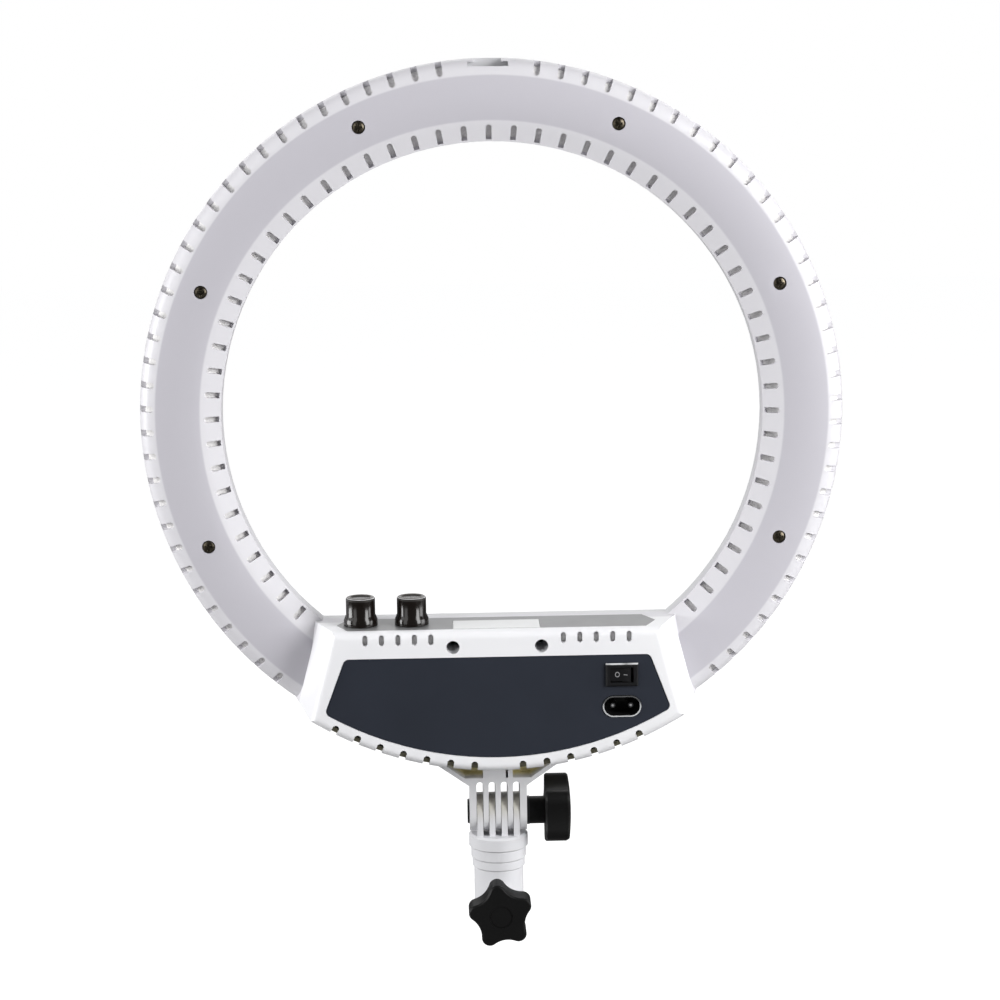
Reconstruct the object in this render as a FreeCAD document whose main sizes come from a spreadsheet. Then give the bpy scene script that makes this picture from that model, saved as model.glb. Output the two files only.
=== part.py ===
import FreeCAD, Part
import math
import operator
import os
import Sketcher
from FreeCAD import Rotation, Vector

# LED ring light on its tilting stand socket.
# Frame: origin at the centre of the stand socket's mouth, +Z up, +X to the right as seen from the rear.
# The rear face with the controls looks along -Y and the light leaves along +Y. The hinge axis lies along X at y 0.

# Driving sizes, in millimetres and degrees: name, value, meaning.
SIZES = [
    ("ring_radius", 168.4, "outer radius of the ring"),
    ("opening_radius", 129.6, "radius of the ring's opening"),
    ("ring_rise", 197, "ring centre above the hinge axis"),
    ("ring_back", 10, "ring's rear face behind the hinge axis"),
    ("parting", 1, "joint plane of rear cover and front housing, ahead of the hinge axis"),
    ("ring_front", 8, "front rim ahead of the hinge axis"),
    ("shell_wall", 2.5, "wall of both mouldings"),
    ("back_rounding", 8.5, "rounding of the ring's outer rear edge"),
    ("slope_radius", 143.5, "radius where the rear face starts to slope inwards"),
    ("slope_drop", 5.5, "how far the slope falls back at the opening"),
    ("slot_width", 3, "outer vent slots, width"),
    ("slot_length", 7, "outer vent slots, length along the radius"),
    ("slot_pitch", 4, "angle between outer vent slots"),
    ("slot_first", 8, "angle of the first outer slot from the top"),
    ("slot_count", 34, "outer vent slots on each side"),
    ("slot_reach", 9, "how far the outer slots run forwards from the rear face"),
    ("inner_slot_width", 2.8, "inner vent slots, width"),
    ("inner_slot_length", 6.9, "inner vent slots, length along the radius"),
    ("inner_slot_margin", 0.9, "from the opening to the inner slots"),
    ("inner_slot_pitch", 5, "angle between inner vent slots"),
    ("inner_slot_count", 55, "inner vent slots in all"),
    ("box_back", 35, "control box's rear face behind the hinge axis"),
    ("box_drop", 99, "box's flat top below the ring centre"),
    ("box_half_width", 77, "half width of the box's rear face at its top"),
    ("box_flare", 14.8, "lean of the box's side edges"),
    ("box_draft", 19, "slope of the box's side walls"),
    ("box_step", 0.3, "how far the box's underside lies inside the ring's edge"),
    ("box_rounding", 4, "rounding round the box's rear face"),
    ("box_slot_width", 3.2, "vent slots along the box's bottom, width"),
    ("box_slot_length", 5.2, "vent slots along the box's bottom, length"),
    ("box_slot_reach", 11, "how far the bottom slots run forwards"),
    ("band_slot_width", 2.4, "vent slots below the top strip, width"),
    ("band_slot_low", 6.6, "lower end of those slots below the box's top"),
    ("band_slot_high", 1.6, "upper end of those slots below the box's top"),
    ("band_slot_first", 31.4, "innermost of those slots from the middle"),
    ("band_slot_pitch", 7.8, "spacing of those slots"),
    ("case_screw_circle", 150, "radius on which the six cover screws lie"),
    ("case_screw_head", 3, "head radius of the cover screws"),
    ("case_screw_shank", 1.5, "shank radius of all cover screws"),
    ("case_screw_depth", 3, "depth of the cover screws' recesses"),
    ("case_screw_length", 7, "shank length of the cover screws"),
    ("case_post_length", 5, "front posts that take the cover screws"),
    ("thread_gap", 0.05, "radial clearance of threads"),
    ("screw_head_height", 2.2, "height of the screw heads"),
    ("screw_clearance", 0.2, "room round each screw's head and shank"),
    ("boss_wall", 1.3, "wall of the screw bosses round the recess"),
    ("box_screw_half_spacing", 21, "box screws from the middle"),
    ("box_screw_drop", 107, "box screws below the ring centre"),
    ("box_well_depth", 26, "depth of the box screws' wells"),
    ("box_post_length", 6, "front posts that take the box screws"),
    ("box_screw_length", 12, "shank length of the box screws"),
    ("shoe_opening", 13, "accessory shoe's opening between its lips"),
    ("shoe_width", 19.2, "accessory shoe's inner width"),
    ("shoe_height", 2.2, "accessory shoe's inner height"),
    ("shoe_lip", 1.8, "thickness of the shoe's lips"),
    ("shoe_floor", 2.5, "material below the shoe"),
    ("shoe_end", 4, "closed end of the shoe, ahead of the hinge axis"),
    ("panel_drop", 111.8, "rear panel's top edge below the ring centre"),
    ("panel_half_width", 72.5, "half width of the rear panel's top edge"),
    ("panel_lean", 20.7, "lean of the rear panel's side edges"),
    ("panel_radius", 161, "radius of the rear panel's bottom edge"),
    ("panel_recess", 1.2, "depth of the rear panel's recess"),
    ("panel_corner", 3, "rounding of the corners of that recess"),
    ("panel_thickness", 0.8, "rear panel's thickness"),
    ("seat_gap", 0.15, "room round plates and inserts in their recesses"),
    ("strip_half_width", 71, "half width of the top strip's long edges"),
    ("strip_tip", 5.5, "how far the strip's points stand out"),
    ("strip_depth", 27, "top strip from front to back"),
    ("strip_back", 30.7, "strip's near edge behind the hinge axis"),
    ("strip_thickness", 1.2, "top strip's thickness and recess depth"),
    ("window_width", 41.6, "display window's width"),
    ("window_depth", 19, "display window from front to back"),
    ("window_margin", 0.8, "from the strip's near edge to the window"),
    ("window_ledge", 1.8, "ledge that the window rests on"),
    ("display_thickness", 2, "display module's thickness"),
    ("left_dial_place", 64.8, "left dial's axis from the middle"),
    ("right_dial_place", 40.4, "right dial's axis from the middle"),
    ("dial_back", 18, "dial axes behind the hinge axis"),
    ("dial_radius", 7, "dial's barrel radius"),
    ("dial_skirt", 8.15, "dial's skirt radius"),
    ("dial_height", 13.6, "dial's height"),
    ("dial_skirt_height", 2.6, "straight part of the dial's skirt"),
    ("dial_flare_height", 2.6, "flare between skirt and barrel"),
    ("dial_gap", 0.4, "dial's underside above the strip"),
    ("cap_height", 1.4, "height of the dial's metal cap"),
    ("cap_rim", 1.1, "width of the cap's raised rim"),
    ("cap_chamfer", 0.7, "chamfer of the cap's rim"),
    ("cap_recess", 0.7, "depth of the cap's dished face"),
    ("shaft_radius", 3, "radius of the dial shafts"),
    ("shaft_grip", 11, "length of shaft held in the dial"),
    ("bush_radius", 4.5, "radius of the potentiometer's bush"),
    ("pot_radius", 8, "radius of the potentiometer's body"),
    ("pot_height", 7.5, "height of the potentiometer's body"),
    ("pot_floor", 1.5, "floor below the shaft in the potentiometer"),
    ("running_gap", 0.06, "radial clearance of turning fits"),
    ("board_thickness", 1.6, "thickness of the circuit boards"),
    ("control_board_width", 48, "control board's width"),
    ("control_board_depth", 25, "control board from front to back"),
    ("switch_place", 59, "switch and inlet from the middle"),
    ("switch_drop", 121.6, "switch below the ring centre"),
    ("switch_width", 15.4, "switch bezel's width"),
    ("switch_height", 11.2, "switch bezel's height"),
    ("switch_proud", 1.8, "switch bezel's height over the panel"),
    ("switch_body_width", 13, "switch body's width"),
    ("switch_body_height", 8.8, "switch body's height"),
    ("switch_body_depth", 14, "switch body's depth behind the panel"),
    ("rocker_half_width", 4.8, "half width of the rocker"),
    ("rocker_height", 6.6, "rocker's size along its axle"),
    ("rocker_gap", 0.35, "room round the rocker"),
    ("rocker_crown", 3, "rocker's raised ends above its axle"),
    ("rocker_dip", 1.9, "rocker's middle above its axle"),
    ("rocker_belly", 2.2, "rocker's underside below its axle"),
    ("rocker_sunk", 1.6, "rocker's axle behind the panel's face"),
    ("rocker_lean", 12, "rocker's tilt each way"),
    ("axle_radius", 0.9, "radius of the rocker's axle"),
    ("axle_reach", 0.8, "how far the axle's ends stand out of the rocker"),
    ("rocker_cavity", 3, "switch cavity's floor behind the rocker's axle"),
    ("bezel_chamfer", 0.7, "chamfer of the switch bezel"),
    ("inlet_drop", 137.1, "inlet below the ring centre"),
    ("inlet_width", 18.3, "inlet's width over its rim"),
    ("inlet_height", 10.2, "inlet's height over its rim"),
    ("inlet_rim", 0.6, "width of the inlet's rim"),
    ("inlet_proud", 0.6, "inlet's rim above the panel"),
    ("inlet_depth", 20, "inlet's depth behind the panel"),
    ("inlet_cavity", 12.5, "depth of the inlet's cavity"),
    ("pin_spacing", 8.6, "spacing of the inlet's pins"),
    ("pin_radius", 1.2, "radius of the inlet's pins"),
    ("pin_sunk", 2.5, "inlet pins' tips behind the inlet's rim"),
    ("pin_tail", 4, "how far the pins' solder ends stand out behind the inlet"),
    ("web_thickness", 1.5, "thickness of the housing's web"),
    ("rebate_width", 1.2, "step that the diffuser rests on"),
    ("rebate_depth", 2.2, "depth of the diffuser's step behind the rim"),
    ("rim_chamfer", 0.8, "chamfer of the front rim"),
    ("diffuser_edge", 1.6, "diffuser's thickness at its edges"),
    ("diffuser_crown", 0.5, "how far the diffuser bows out"),
    ("board_margin", 0.9, "room round the LED board"),
    ("led_length", 3.5, "LED package along the ring"),
    ("led_width", 2.8, "LED package across the ring"),
    ("led_height", 0.8, "LED package's height"),
    ("led_inset", 8, "LED rows from the board's edges"),
    ("led_pairs", 28, "pairs of warm and cool LEDs in each row"),
    ("closure_front", 7, "box's front face ahead of the hinge axis"),
    ("closure_thickness", 2, "box's front wall"),
    ("supply_width", 84, "power supply board's width"),
    ("supply_height", 28, "power supply board's height"),
    ("supply_drop", 134, "power supply board's middle below the ring centre"),
    ("supply_front", -1, "power supply board's front face, ahead of the hinge axis"),
    ("supply_post", 2.5, "radius of the power supply's posts"),
    ("supply_inset", 4, "posts from the board's edges"),
    ("supply_pin", 1.2, "radius of the posts' pins through the board"),
    ("supply_pin_proud", 0.8, "how far those pins stand out of the board"),
    ("transformer_width", 22, "transformer's width"),
    ("transformer_height", 18, "transformer's height"),
    ("transformer_depth", 15, "transformer's depth off the board"),
    ("capacitor_radius", 5.5, "radius of the large capacitor"),
    ("capacitor_length", 14, "length of the large capacitor"),
    ("heatsink_thickness", 2.5, "heatsink's thickness"),
    ("heatsink_depth", 17, "heatsink's depth off the board"),
    ("pivot_height", 53, "hinge axis above the socket's mouth"),
    ("hinge_radius", 9.5, "end radius of the head's fingers"),
    ("finger_width", 2.6, "width of the head's inner fingers"),
    ("outer_finger_width", 3.4, "width of the head's outer fingers"),
    ("finger_gap", 3.35, "gap between the head's fingers"),
    ("side_gap", 0.2, "room beside each finger"),
    ("neck_rise", 17, "top of the finger gaps above the hinge axis"),
    ("foot_half_width", 40, "half width of the bracket at the ring"),
    ("bracket_wall", 2, "bracket's thin walls"),
    ("flare_rise", 15, "start of the bracket's flare above the hinge axis"),
    ("bracket_gap", 0.15, "gap between the bracket and the rear cover"),
    ("bracket_pocket", 13, "depth of the bracket's rear pockets"),
    ("bracket_block", 7.2, "half width of the bracket's solid middle"),
    ("bracket_slit", 1.1, "width of the slit beside the middle rib"),
    ("slit_place", 4.4, "that slit from the middle"),
    ("bolt_radius", 3, "hinge bolt's shank"),
    ("bolt_head_radius", 6, "hinge bolt's head"),
    ("bolt_head_height", 3, "height of the hinge bolt's head"),
    ("bolt_head_proud", 1, "how far the bolt's head stands out"),
    ("bolt_length", 38.4, "length of the hinge bolt's shank"),
    ("washer_radius", 7, "tilt washer's radius"),
    ("washer_thickness", 1.4, "tilt washer's thickness"),
    ("knob_hub_radius", 6.75, "star knob's hub"),
    ("knob_hub_length", 7.6, "length of the star knob's hub"),
    ("knob_head_length", 12.8, "thickness of the star knob's head"),
    ("knob_reach", 15.7, "clamp knob's radius to the tips of its lobes"),
    ("lobe_radius", 3.9, "radius of each lobe's tip"),
    ("valley_reach", 11.7, "clamp knob's radius between the lobes"),
    ("tilt_knob_growth", 1.14, "tilt knob's star against the clamp knob's"),
    ("knob_dome", 1.5, "how far the tilt knob's face bulges"),
    ("knob_chamfer", 0.8, "chamfer of the star knob's edges"),
    ("knob_disc_radius", 5.4, "radius of the disc in the knob's face"),
    ("knob_disc_depth", 1.2, "depth of the disc's recess"),
    ("knob_disc_thickness", 0.8, "thickness of the disc"),
    ("insert_radius", 4.6, "radius of the threaded inserts in the knobs"),
    ("insert_length", 9, "length of the threaded inserts in the knobs"),
    ("knob_bore_depth", 12.5, "depth of the bores in the knobs"),
    ("clamp_turn", 8, "how far the clamp knob's first lobe leans left of upright"),
    ("socket_bore", 8.1, "stand bore's radius"),
    ("socket_depth", 32, "stand bore's depth"),
    ("socket_radius", 12.1, "radius of the socket's lower body"),
    ("low_band_radius", 12.9, "radius of the lower band"),
    ("high_band_radius", 13.5, "radius of the upper band"),
    ("collar_radius", 14.5, "radius of the collar"),
    ("low_band_height", 25.2, "lower band's bottom above the mouth"),
    ("high_band_height", 29.8, "upper band's bottom above the mouth"),
    ("collar_height", 35.3, "collar's bottom above the mouth"),
    ("band_step", 0.8, "height of the sloping edge under each band"),
    ("shoulder_drop", 10.5, "collar's top below the hinge axis"),
    ("socket_finger_radius", 9.2, "end radius of the socket's fingers"),
    ("clamp_height", 11.2, "clamp screw above the mouth"),
    ("clamp_boss_radius", 7.5, "boss that holds the clamp nut"),
    ("clamp_boss_end", 17, "boss's end behind the bore's axis"),
    ("nut_radius", 5.6, "clamp nut's radius over its corners"),
    ("nut_length", 5, "clamp nut's length"),
    ("pad_radius", 3.6, "clamp pad's radius"),
    ("pad_thickness", 2, "clamp pad's thickness"),
    ("clamp_travel_gap", 2.3, "room between boss and clamp knob"),
    ("collar_chamfer", 1, "chamfer of the collar's top edge"),
    ("mouth_chamfer", 0.8, "chamfer of the socket's lower edge"),
]

doc = FreeCAD.newDocument("led_ring_light")
sheet = doc.addObject("Spreadsheet::Sheet", "sizes")
for row, (name, number, meaning) in enumerate(SIZES, start=1):
    sheet.set(f"A{row}", name)
    sheet.set(f"B{row}", str(number))
    sheet.setAlias(f"B{row}", name)
    sheet.set(f"C{row}", meaning)
doc.recompute()


class Size:
    """A number, together with the spreadsheet formula that gives it."""

    def __init__(self, number, formula):
        self.number = number
        self.formula = formula

    def __add__(self, other):
        return combine(self, "+", other)

    def __radd__(self, other):
        return combine(other, "+", self)

    def __sub__(self, other):
        return combine(self, "-", other)

    def __rsub__(self, other):
        return combine(other, "-", self)

    def __mul__(self, other):
        return combine(self, "*", other)

    def __rmul__(self, other):
        return combine(other, "*", self)

    def __truediv__(self, other):
        return combine(self, "/", other)

    def __rtruediv__(self, other):
        return combine(other, "/", self)

    def __neg__(self):
        return combine(0, "-", self)


SIGNS = {"+": operator.add, "-": operator.sub, "*": operator.mul, "/": operator.truediv}


def number_of(size):
    return size.number if isinstance(size, Size) else size


def formula_of(size):
    return size.formula if isinstance(size, Size) else f"({size})"


def combine(left, sign, right):
    number = SIGNS[sign](number_of(left), number_of(right))
    return Size(number, f"({formula_of(left)} {sign} {formula_of(right)})")


def sine(angle):
    return Size(math.sin(math.radians(number_of(angle))), f"sin({formula_of(angle)})")


def cosine(angle):
    return Size(math.cos(math.radians(number_of(angle))), f"cos({formula_of(angle)})")


def tangent(angle):
    return Size(math.tan(math.radians(number_of(angle))), f"tan({formula_of(angle)})")


def root(size):
    return Size(math.sqrt(number_of(size)), f"sqrt({formula_of(size)})")


class Sheet:
    """The spreadsheet's sizes as attributes, such as S.ring_radius."""

    def __getattr__(self, alias):
        return Size(float(sheet.get(alias)), f"sizes.{alias}")


S = Sheet()
RING_HEIGHT = S.pivot_height + S.ring_rise  # ring centre above the socket's mouth
NODES = {}  # name of each sub-part and its object


def bind(item, path, size):
    """Binds a property, or a part of one, to the sheet."""
    item.setExpression(path, formula_of(size))


def node(name, item, x=None, y=None, z=None):
    """Names a finished sub-part and moves it from its own origin to its place."""
    item.Label = name
    for axis, place in (("x", x), ("y", y), ("z", z)):
        if place is not None:
            bind(item, f"Placement.Base.{axis}", place)
    NODES[name] = item
    return item


def origin_plane(body, role):
    return next(feature for feature in body.Origin.OriginFeatures if feature.Role == role)


# A sketch on the XZ plane faces -Y, on the YZ plane +X and on the XY plane +Z.
FACING = {"XY_Plane": 1, "XZ_Plane": -1, "YZ_Plane": 1}


def sketch_on(body, name, role, place=0, turn=0):
    sketch = body.newObject("Sketcher::SketchObject", name)
    sketch.AttachmentSupport = (origin_plane(body, role), "")
    sketch.MapMode = "FlatFace"
    bind(sketch, "AttachmentOffset.Base.z", FACING[role] * place)
    bind(sketch, "AttachmentOffset.Rotation.Angle", turn)
    return sketch


def pin(sketch, edge, end, x=None, y=None):
    """Fixes a point of the sketch by its coordinates."""
    for kind, place in (("DistanceX", x), ("DistanceY", y)):
        if place is not None:
            rule = sketch.addConstraint(Sketcher.Constraint(kind, edge, end, number_of(place)))
            bind(sketch, f"Constraints[{rule}]", place)


def set_radius(sketch, edge, radius):
    rule = sketch.addConstraint(Sketcher.Constraint("Radius", edge, number_of(radius)))
    bind(sketch, f"Constraints[{rule}]", radius)


def outline(sketch, corners):
    """Draws a closed outline. A corner is (x, y), or (x, y, centre, radius, turn) where an arc leads to it.

    The turn is 1 for an anticlockwise arc and -1 for a clockwise one."""
    edges = []
    for index, corner in enumerate(corners):
        ends = [Vector(number_of(x), number_of(y)) for x, y in (corners[index - 1][:2], corner[:2])]
        if len(corner) == 2:
            edge = sketch.addGeometry(Part.LineSegment(*ends))
            edges.append((edge, 1, 2))
            continue
        (centre_x, centre_y), radius, turn = corner[2:]
        centre = Vector(number_of(centre_x), number_of(centre_y))
        angles = [math.atan2(end.y - centre.y, end.x - centre.x) for end in ends[::turn]]
        if angles[1] < angles[0]:
            angles[1] += 2 * math.pi
        circle = Part.Circle(centre, Vector(0, 0, 1), number_of(radius))
        edge = sketch.addGeometry(Part.ArcOfCircle(circle, *angles))
        edges.append((edge, 1, 2) if turn > 0 else (edge, 2, 1))
        chord = ends[1] - ends[0]
        if chord.Length < 1.99 * circle.Radius:
            set_radius(sketch, edge, radius)
        elif abs(chord.x) > abs(chord.y):
            pin(sketch, edge, 3, y=centre_y)
        else:
            pin(sketch, edge, 3, x=centre_x)
    for index, (edge, start, end) in enumerate(edges):
        before = edges[index - 1]
        sketch.addConstraint(Sketcher.Constraint("Coincident", before[0], before[2], edge, start))
        pin(sketch, edge, end, *corners[index][:2])


def round_outline(sketch, x, y, radius):
    middle = Vector(number_of(x), number_of(y))
    edge = sketch.addGeometry(Part.Circle(middle, Vector(0, 0, 1), number_of(radius)))
    pin(sketch, edge, 3, x, y)
    set_radius(sketch, edge, radius)


def rectangle(low_x, high_x, low_y, high_y):
    return [(low_x, low_y), (high_x, low_y), (high_x, high_y), (low_x, high_y)]


def stadium(x, y, half_width, half_height):
    """A flat-sided oval with round ends left and right."""
    straight = half_width - half_height
    return [
        (x + straight, y - half_height),
        (x + straight, y + half_height, (x + straight, y), half_height, 1),
        (x - straight, y + half_height),
        (x - straight, y - half_height, (x - straight, y), half_height, 1),
    ]


def polygon(x, y, radius, sides, first=0):
    steps = [first + 360 * index / sides for index in range(sides)]
    return [(x + radius * cosine(step), y + radius * sine(step)) for step in steps]


def slab(body, name, role, low, high, *outlines, circles=(), turn=0):
    """Adds material between two planes parallel to an origin plane."""
    sketch = sketch_on(body, name + "_sketch", role, low if FACING[role] > 0 else high, turn)
    for corners in outlines:
        outline(sketch, corners)
    for place_and_radius in circles:
        round_outline(sketch, *place_and_radius)
    pad = body.newObject("PartDesign::Pad", name)
    pad.Profile = sketch
    pad.AllowMultiFace = True
    pad.Refine = False
    bind(pad, "Length", high - low)
    return pad


def hollow(body, name, role, low, high, *outlines, circles=(), turn=0):
    """Takes material away between two planes parallel to an origin plane."""
    sketch = sketch_on(body, name + "_sketch", role, high if FACING[role] > 0 else low, turn)
    for corners in outlines:
        outline(sketch, corners)
    for place_and_radius in circles:
        round_outline(sketch, *place_and_radius)
    pocket = body.newObject("PartDesign::Pocket", name)
    pocket.Profile = sketch
    pocket.AllowMultiFace = True
    pocket.Refine = False
    bind(pocket, "Length", high - low)
    return pocket


def turned(body, name, role, corners, axis="V_Axis", kind="Revolution"):
    """Turns an outline about an axis of its own sketch, to add material or as a Groove to take it away."""
    sketch = sketch_on(body, name + "_sketch", role)
    outline(sketch, corners)
    revolution = body.newObject(f"PartDesign::{kind}", name)
    revolution.Profile = sketch
    revolution.ReferenceAxis = (sketch, [axis])
    revolution.Angle = 360
    revolution.Refine = False
    return revolution


def loft(body, name, kind, sections):
    """A ruled loft along Y. Each section is a plane's place and an outline."""
    sketches = []
    for index, (place, corners) in enumerate(sections):
        sketch = sketch_on(body, f"{name}_section_{index}", "XZ_Plane", place)
        outline(sketch, corners)
        sketches.append(sketch)
    feature = body.newObject(f"PartDesign::{kind}Loft", name)
    feature.Profile = sketches[0]
    feature.Sections = sketches[1:]
    feature.Ruled = True
    feature.Refine = False
    return feature


def repeat_round_y(body, feature, name, pitch, count):
    """Repeats a feature about the body's Y axis, clockwise as seen from the rear."""
    pattern = body.newObject("PartDesign::PolarPattern", name)
    pattern.Originals = [feature]
    pattern.Axis = (origin_plane(body, "Y_Axis"), [""])
    bind(pattern, "Angle", pitch * (count - 1))
    bind(pattern, "Occurrences", count)
    pattern.Refine = False
    body.Tip = pattern


def repeat_along_x(body, feature, name, pitch, count):
    pattern = body.newObject("PartDesign::LinearPattern", name)
    pattern.Originals = [feature]
    pattern.Direction = (origin_plane(body, "X_Axis"), [""])
    bind(pattern, "Length", pitch * (count - 1))
    pattern.Occurrences = count
    pattern.Refine = False
    body.Tip = pattern


def soften(body, name, kind, base, size, wanted):
    """Fillets or chamfers the edges of a feature that the test picks."""
    doc.recompute()
    names = [f"Edge{index}" for index, edge in enumerate(base.Shape.Edges, start=1) if wanted(edge)]
    feature = body.newObject(f"PartDesign::{kind}", name)
    feature.Base = (base, names)
    bind(feature, "Radius" if kind == "Fillet" else "Size", size)
    return feature


def runs_along_y(edge, slack=1e-4):
    """Whether the edge is a straight line along Y."""
    first, last = edge.Vertexes[0].Point, edge.Vertexes[-1].Point
    return math.hypot(first.x - last.x, first.z - last.z) < slack < abs(first.y - last.y)


def lies_at(edge, axis, place, slack=1e-4):
    """Whether the whole edge lies in a plane across the axis (0, 1, 2 for X, Y, Z)."""
    return all(abs(vertex.Point[axis] - number_of(place)) < slack for vertex in edge.Vertexes)


TURNS = {"X": Rotation(Vector(0, 1, 0), 90), "Y": Rotation(Vector(1, 0, 0), -90), "Z": Rotation()}


def rod(name, axis, start, radius, length):
    """A round bar that runs from its start along +X, +Y or +Z."""
    item = doc.addObject("Part::Cylinder", name)
    item.Placement.Rotation = TURNS[axis]
    bind(item, "Radius", radius)
    bind(item, "Height", length)
    for index, letter in enumerate("xyz"):
        bind(item, f"Placement.Base.{letter}", start[index])
    return item


# The head's plan, drawn about the ring's centre as seen from the rear: x to the right, y up.


def box_half_width_at(place):
    """Half width of the box's top at a plane across Y: it widens forwards."""
    return S.box_half_width + (S.box_back + place) * tangent(S.box_draft)


def box_section(place, inset):
    """The box's outline at a plane across Y, closed below by an arc about the ring's centre."""
    lean = tangent(S.box_flare)
    drop = S.box_drop + inset
    half_width = box_half_width_at(place) - inset / cosine(S.box_flare) + inset * lean
    radius = S.ring_radius - S.box_step - inset
    offset = half_width - lean * drop  # the side line is x = offset + lean * depth
    depth = (root(radius * radius * (1 + lean * lean) - offset * offset) - lean * offset) / (1 + lean * lean)
    corner = offset + lean * depth
    return [
        (-half_width, -drop),
        (-corner, -depth),
        (corner, -depth, (0, 0), radius, 1),
        (half_width, -drop),
    ]


def polar(radius, angle):
    """A point at an angle clockwise from the top."""
    return radius * sine(angle), radius * cosine(angle)


def pill_outline(x, low, high, width):
    """A slot that runs up the sketch, with an end of three flats above and below."""
    half = width / 2
    flat = half * tangent(22.5)
    low_bend = low + half - flat
    high_bend = high - half + flat
    return [
        (x - half, high_bend),
        (x - half, low_bend),
        (x - flat, low),
        (x + flat, low),
        (x + half, low_bend),
        (x + half, high_bend),
        (x + flat, high),
        (x - flat, high),
    ]


def ring_slot_outline(low, high, width):
    """A slot open above, with an end of three flats below. Its sides follow the ring's radii, so that they cross
    the ring's slopes in straight lines."""
    half = width / 2
    flat = half * tangent(22.5)
    bend = low + half - flat
    spread = half * high / bend
    return [
        (-spread, high),
        (-half, bend),
        (-flat, low),
        (flat, low),
        (half, bend),
        (spread, high),
    ]


def inner_slot_outline(low, high, width):
    """The same slot the other way round: straight below, at the opening's edge, and with three flats above."""
    half = width / 2
    flat = half * tangent(22.5)
    bend = high - half + flat
    spread = half * low / bend
    return [
        (-spread, low),
        (spread, low),
        (half, bend),
        (flat, high),
        (-flat, high),
        (-half, bend),
    ]


CASE_SCREW_ANGLES = (-114, -66, -24, 24, 66, 114)
CASE_SCREWS = [polar(S.case_screw_circle, angle) for angle in CASE_SCREW_ANGLES]
BOX_SCREWS = [(side * S.box_screw_half_spacing, -S.box_screw_drop) for side in (-1, 1)]
HEAD_RECESS = S.case_screw_head + S.screw_clearance
SHANK_HOLE = S.case_screw_shank + S.screw_clearance
BOSS = HEAD_RECESS + S.boss_wall
DIALS = {"left": S.left_dial_place, "right": S.right_dial_place}
STRIP_MIDDLE = S.strip_depth / 2 - S.strip_back
WINDOW_MIDDLE = S.window_margin + S.window_depth / 2 - S.strip_back
PANEL_FACE = S.panel_recess - S.panel_thickness - S.box_back  # the panel's visible face across Y
BAND_SLOTS = 5  # on each side of the box screws
BOTTOM_SLOTS = {"left": 7, "right": 6}  # the bracket's middle hides one
SWITCH = (S.switch_place, -S.switch_drop)
INLET = (S.switch_place, -S.inlet_drop)


def panel_outline(inset):
    """The rear panel's outline: straight top, leaning sides, bottom arc about the ring's centre."""
    lean = tangent(S.panel_lean)
    drop = S.panel_drop + inset
    half_width = S.panel_half_width - inset
    radius = S.panel_radius - inset
    offset = half_width - lean * drop
    depth = (root(radius * radius * (1 + lean * lean) - offset * offset) - lean * offset) / (1 + lean * lean)
    corner = offset + lean * depth
    return [
        (-half_width, -drop),
        (-corner, -depth),
        (corner, -depth, (0, 0), radius, 1),
        (half_width, -drop),
    ]


def strip_outline(inset):
    """The top strip's outline in plan, with a point at each end."""
    half = S.strip_half_width - inset
    tip = S.strip_half_width + S.strip_tip - inset
    low = STRIP_MIDDLE - S.strip_depth / 2 + inset
    high = STRIP_MIDDLE + S.strip_depth / 2 - inset
    return [(-half, low), (half, low), (tip, STRIP_MIDDLE), (half, high), (-half, high), (-tip, STRIP_MIDDLE)]


def window_outline(inset):
    half = S.window_width / 2 - inset
    depth = S.window_depth / 2 - inset
    return rectangle(-half, half, WINDOW_MIDDLE - depth, WINDOW_MIDDLE + depth)


def switch_hole(room):
    x, y = SWITCH
    half_width = S.switch_body_width / 2 + room
    half_height = S.switch_body_height / 2 + room
    return rectangle(x - half_width, x + half_width, y - half_height, y + half_height)


def inlet_hole(room):
    return stadium(*INLET, S.inlet_width / 2 + room, S.inlet_height / 2 + room)


def shoe_floor_height():
    return S.ring_radius - S.shoe_lip - S.shoe_height


def shoe_block_outline():
    """The thickened wall round the accessory shoe at the ring's top."""
    half = S.shoe_width / 2 + S.shell_wall
    return rectangle(-half, half, shoe_floor_height() - S.shoe_floor, S.ring_radius - S.shoe_lip)


def shoe_slot_outline():
    """The accessory shoe's T-slot, open at the top."""
    half = S.shoe_width / 2
    opening = S.shoe_opening / 2
    roof = S.ring_radius - S.shoe_lip
    sky = S.ring_radius + S.shoe_lip
    return [
        (-half, shoe_floor_height()),
        (half, shoe_floor_height()),
        (half, roof),
        (opening, roof),
        (opening, sky),
        (-opening, sky),
        (-opening, roof),
        (-half, roof),
    ]


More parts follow.
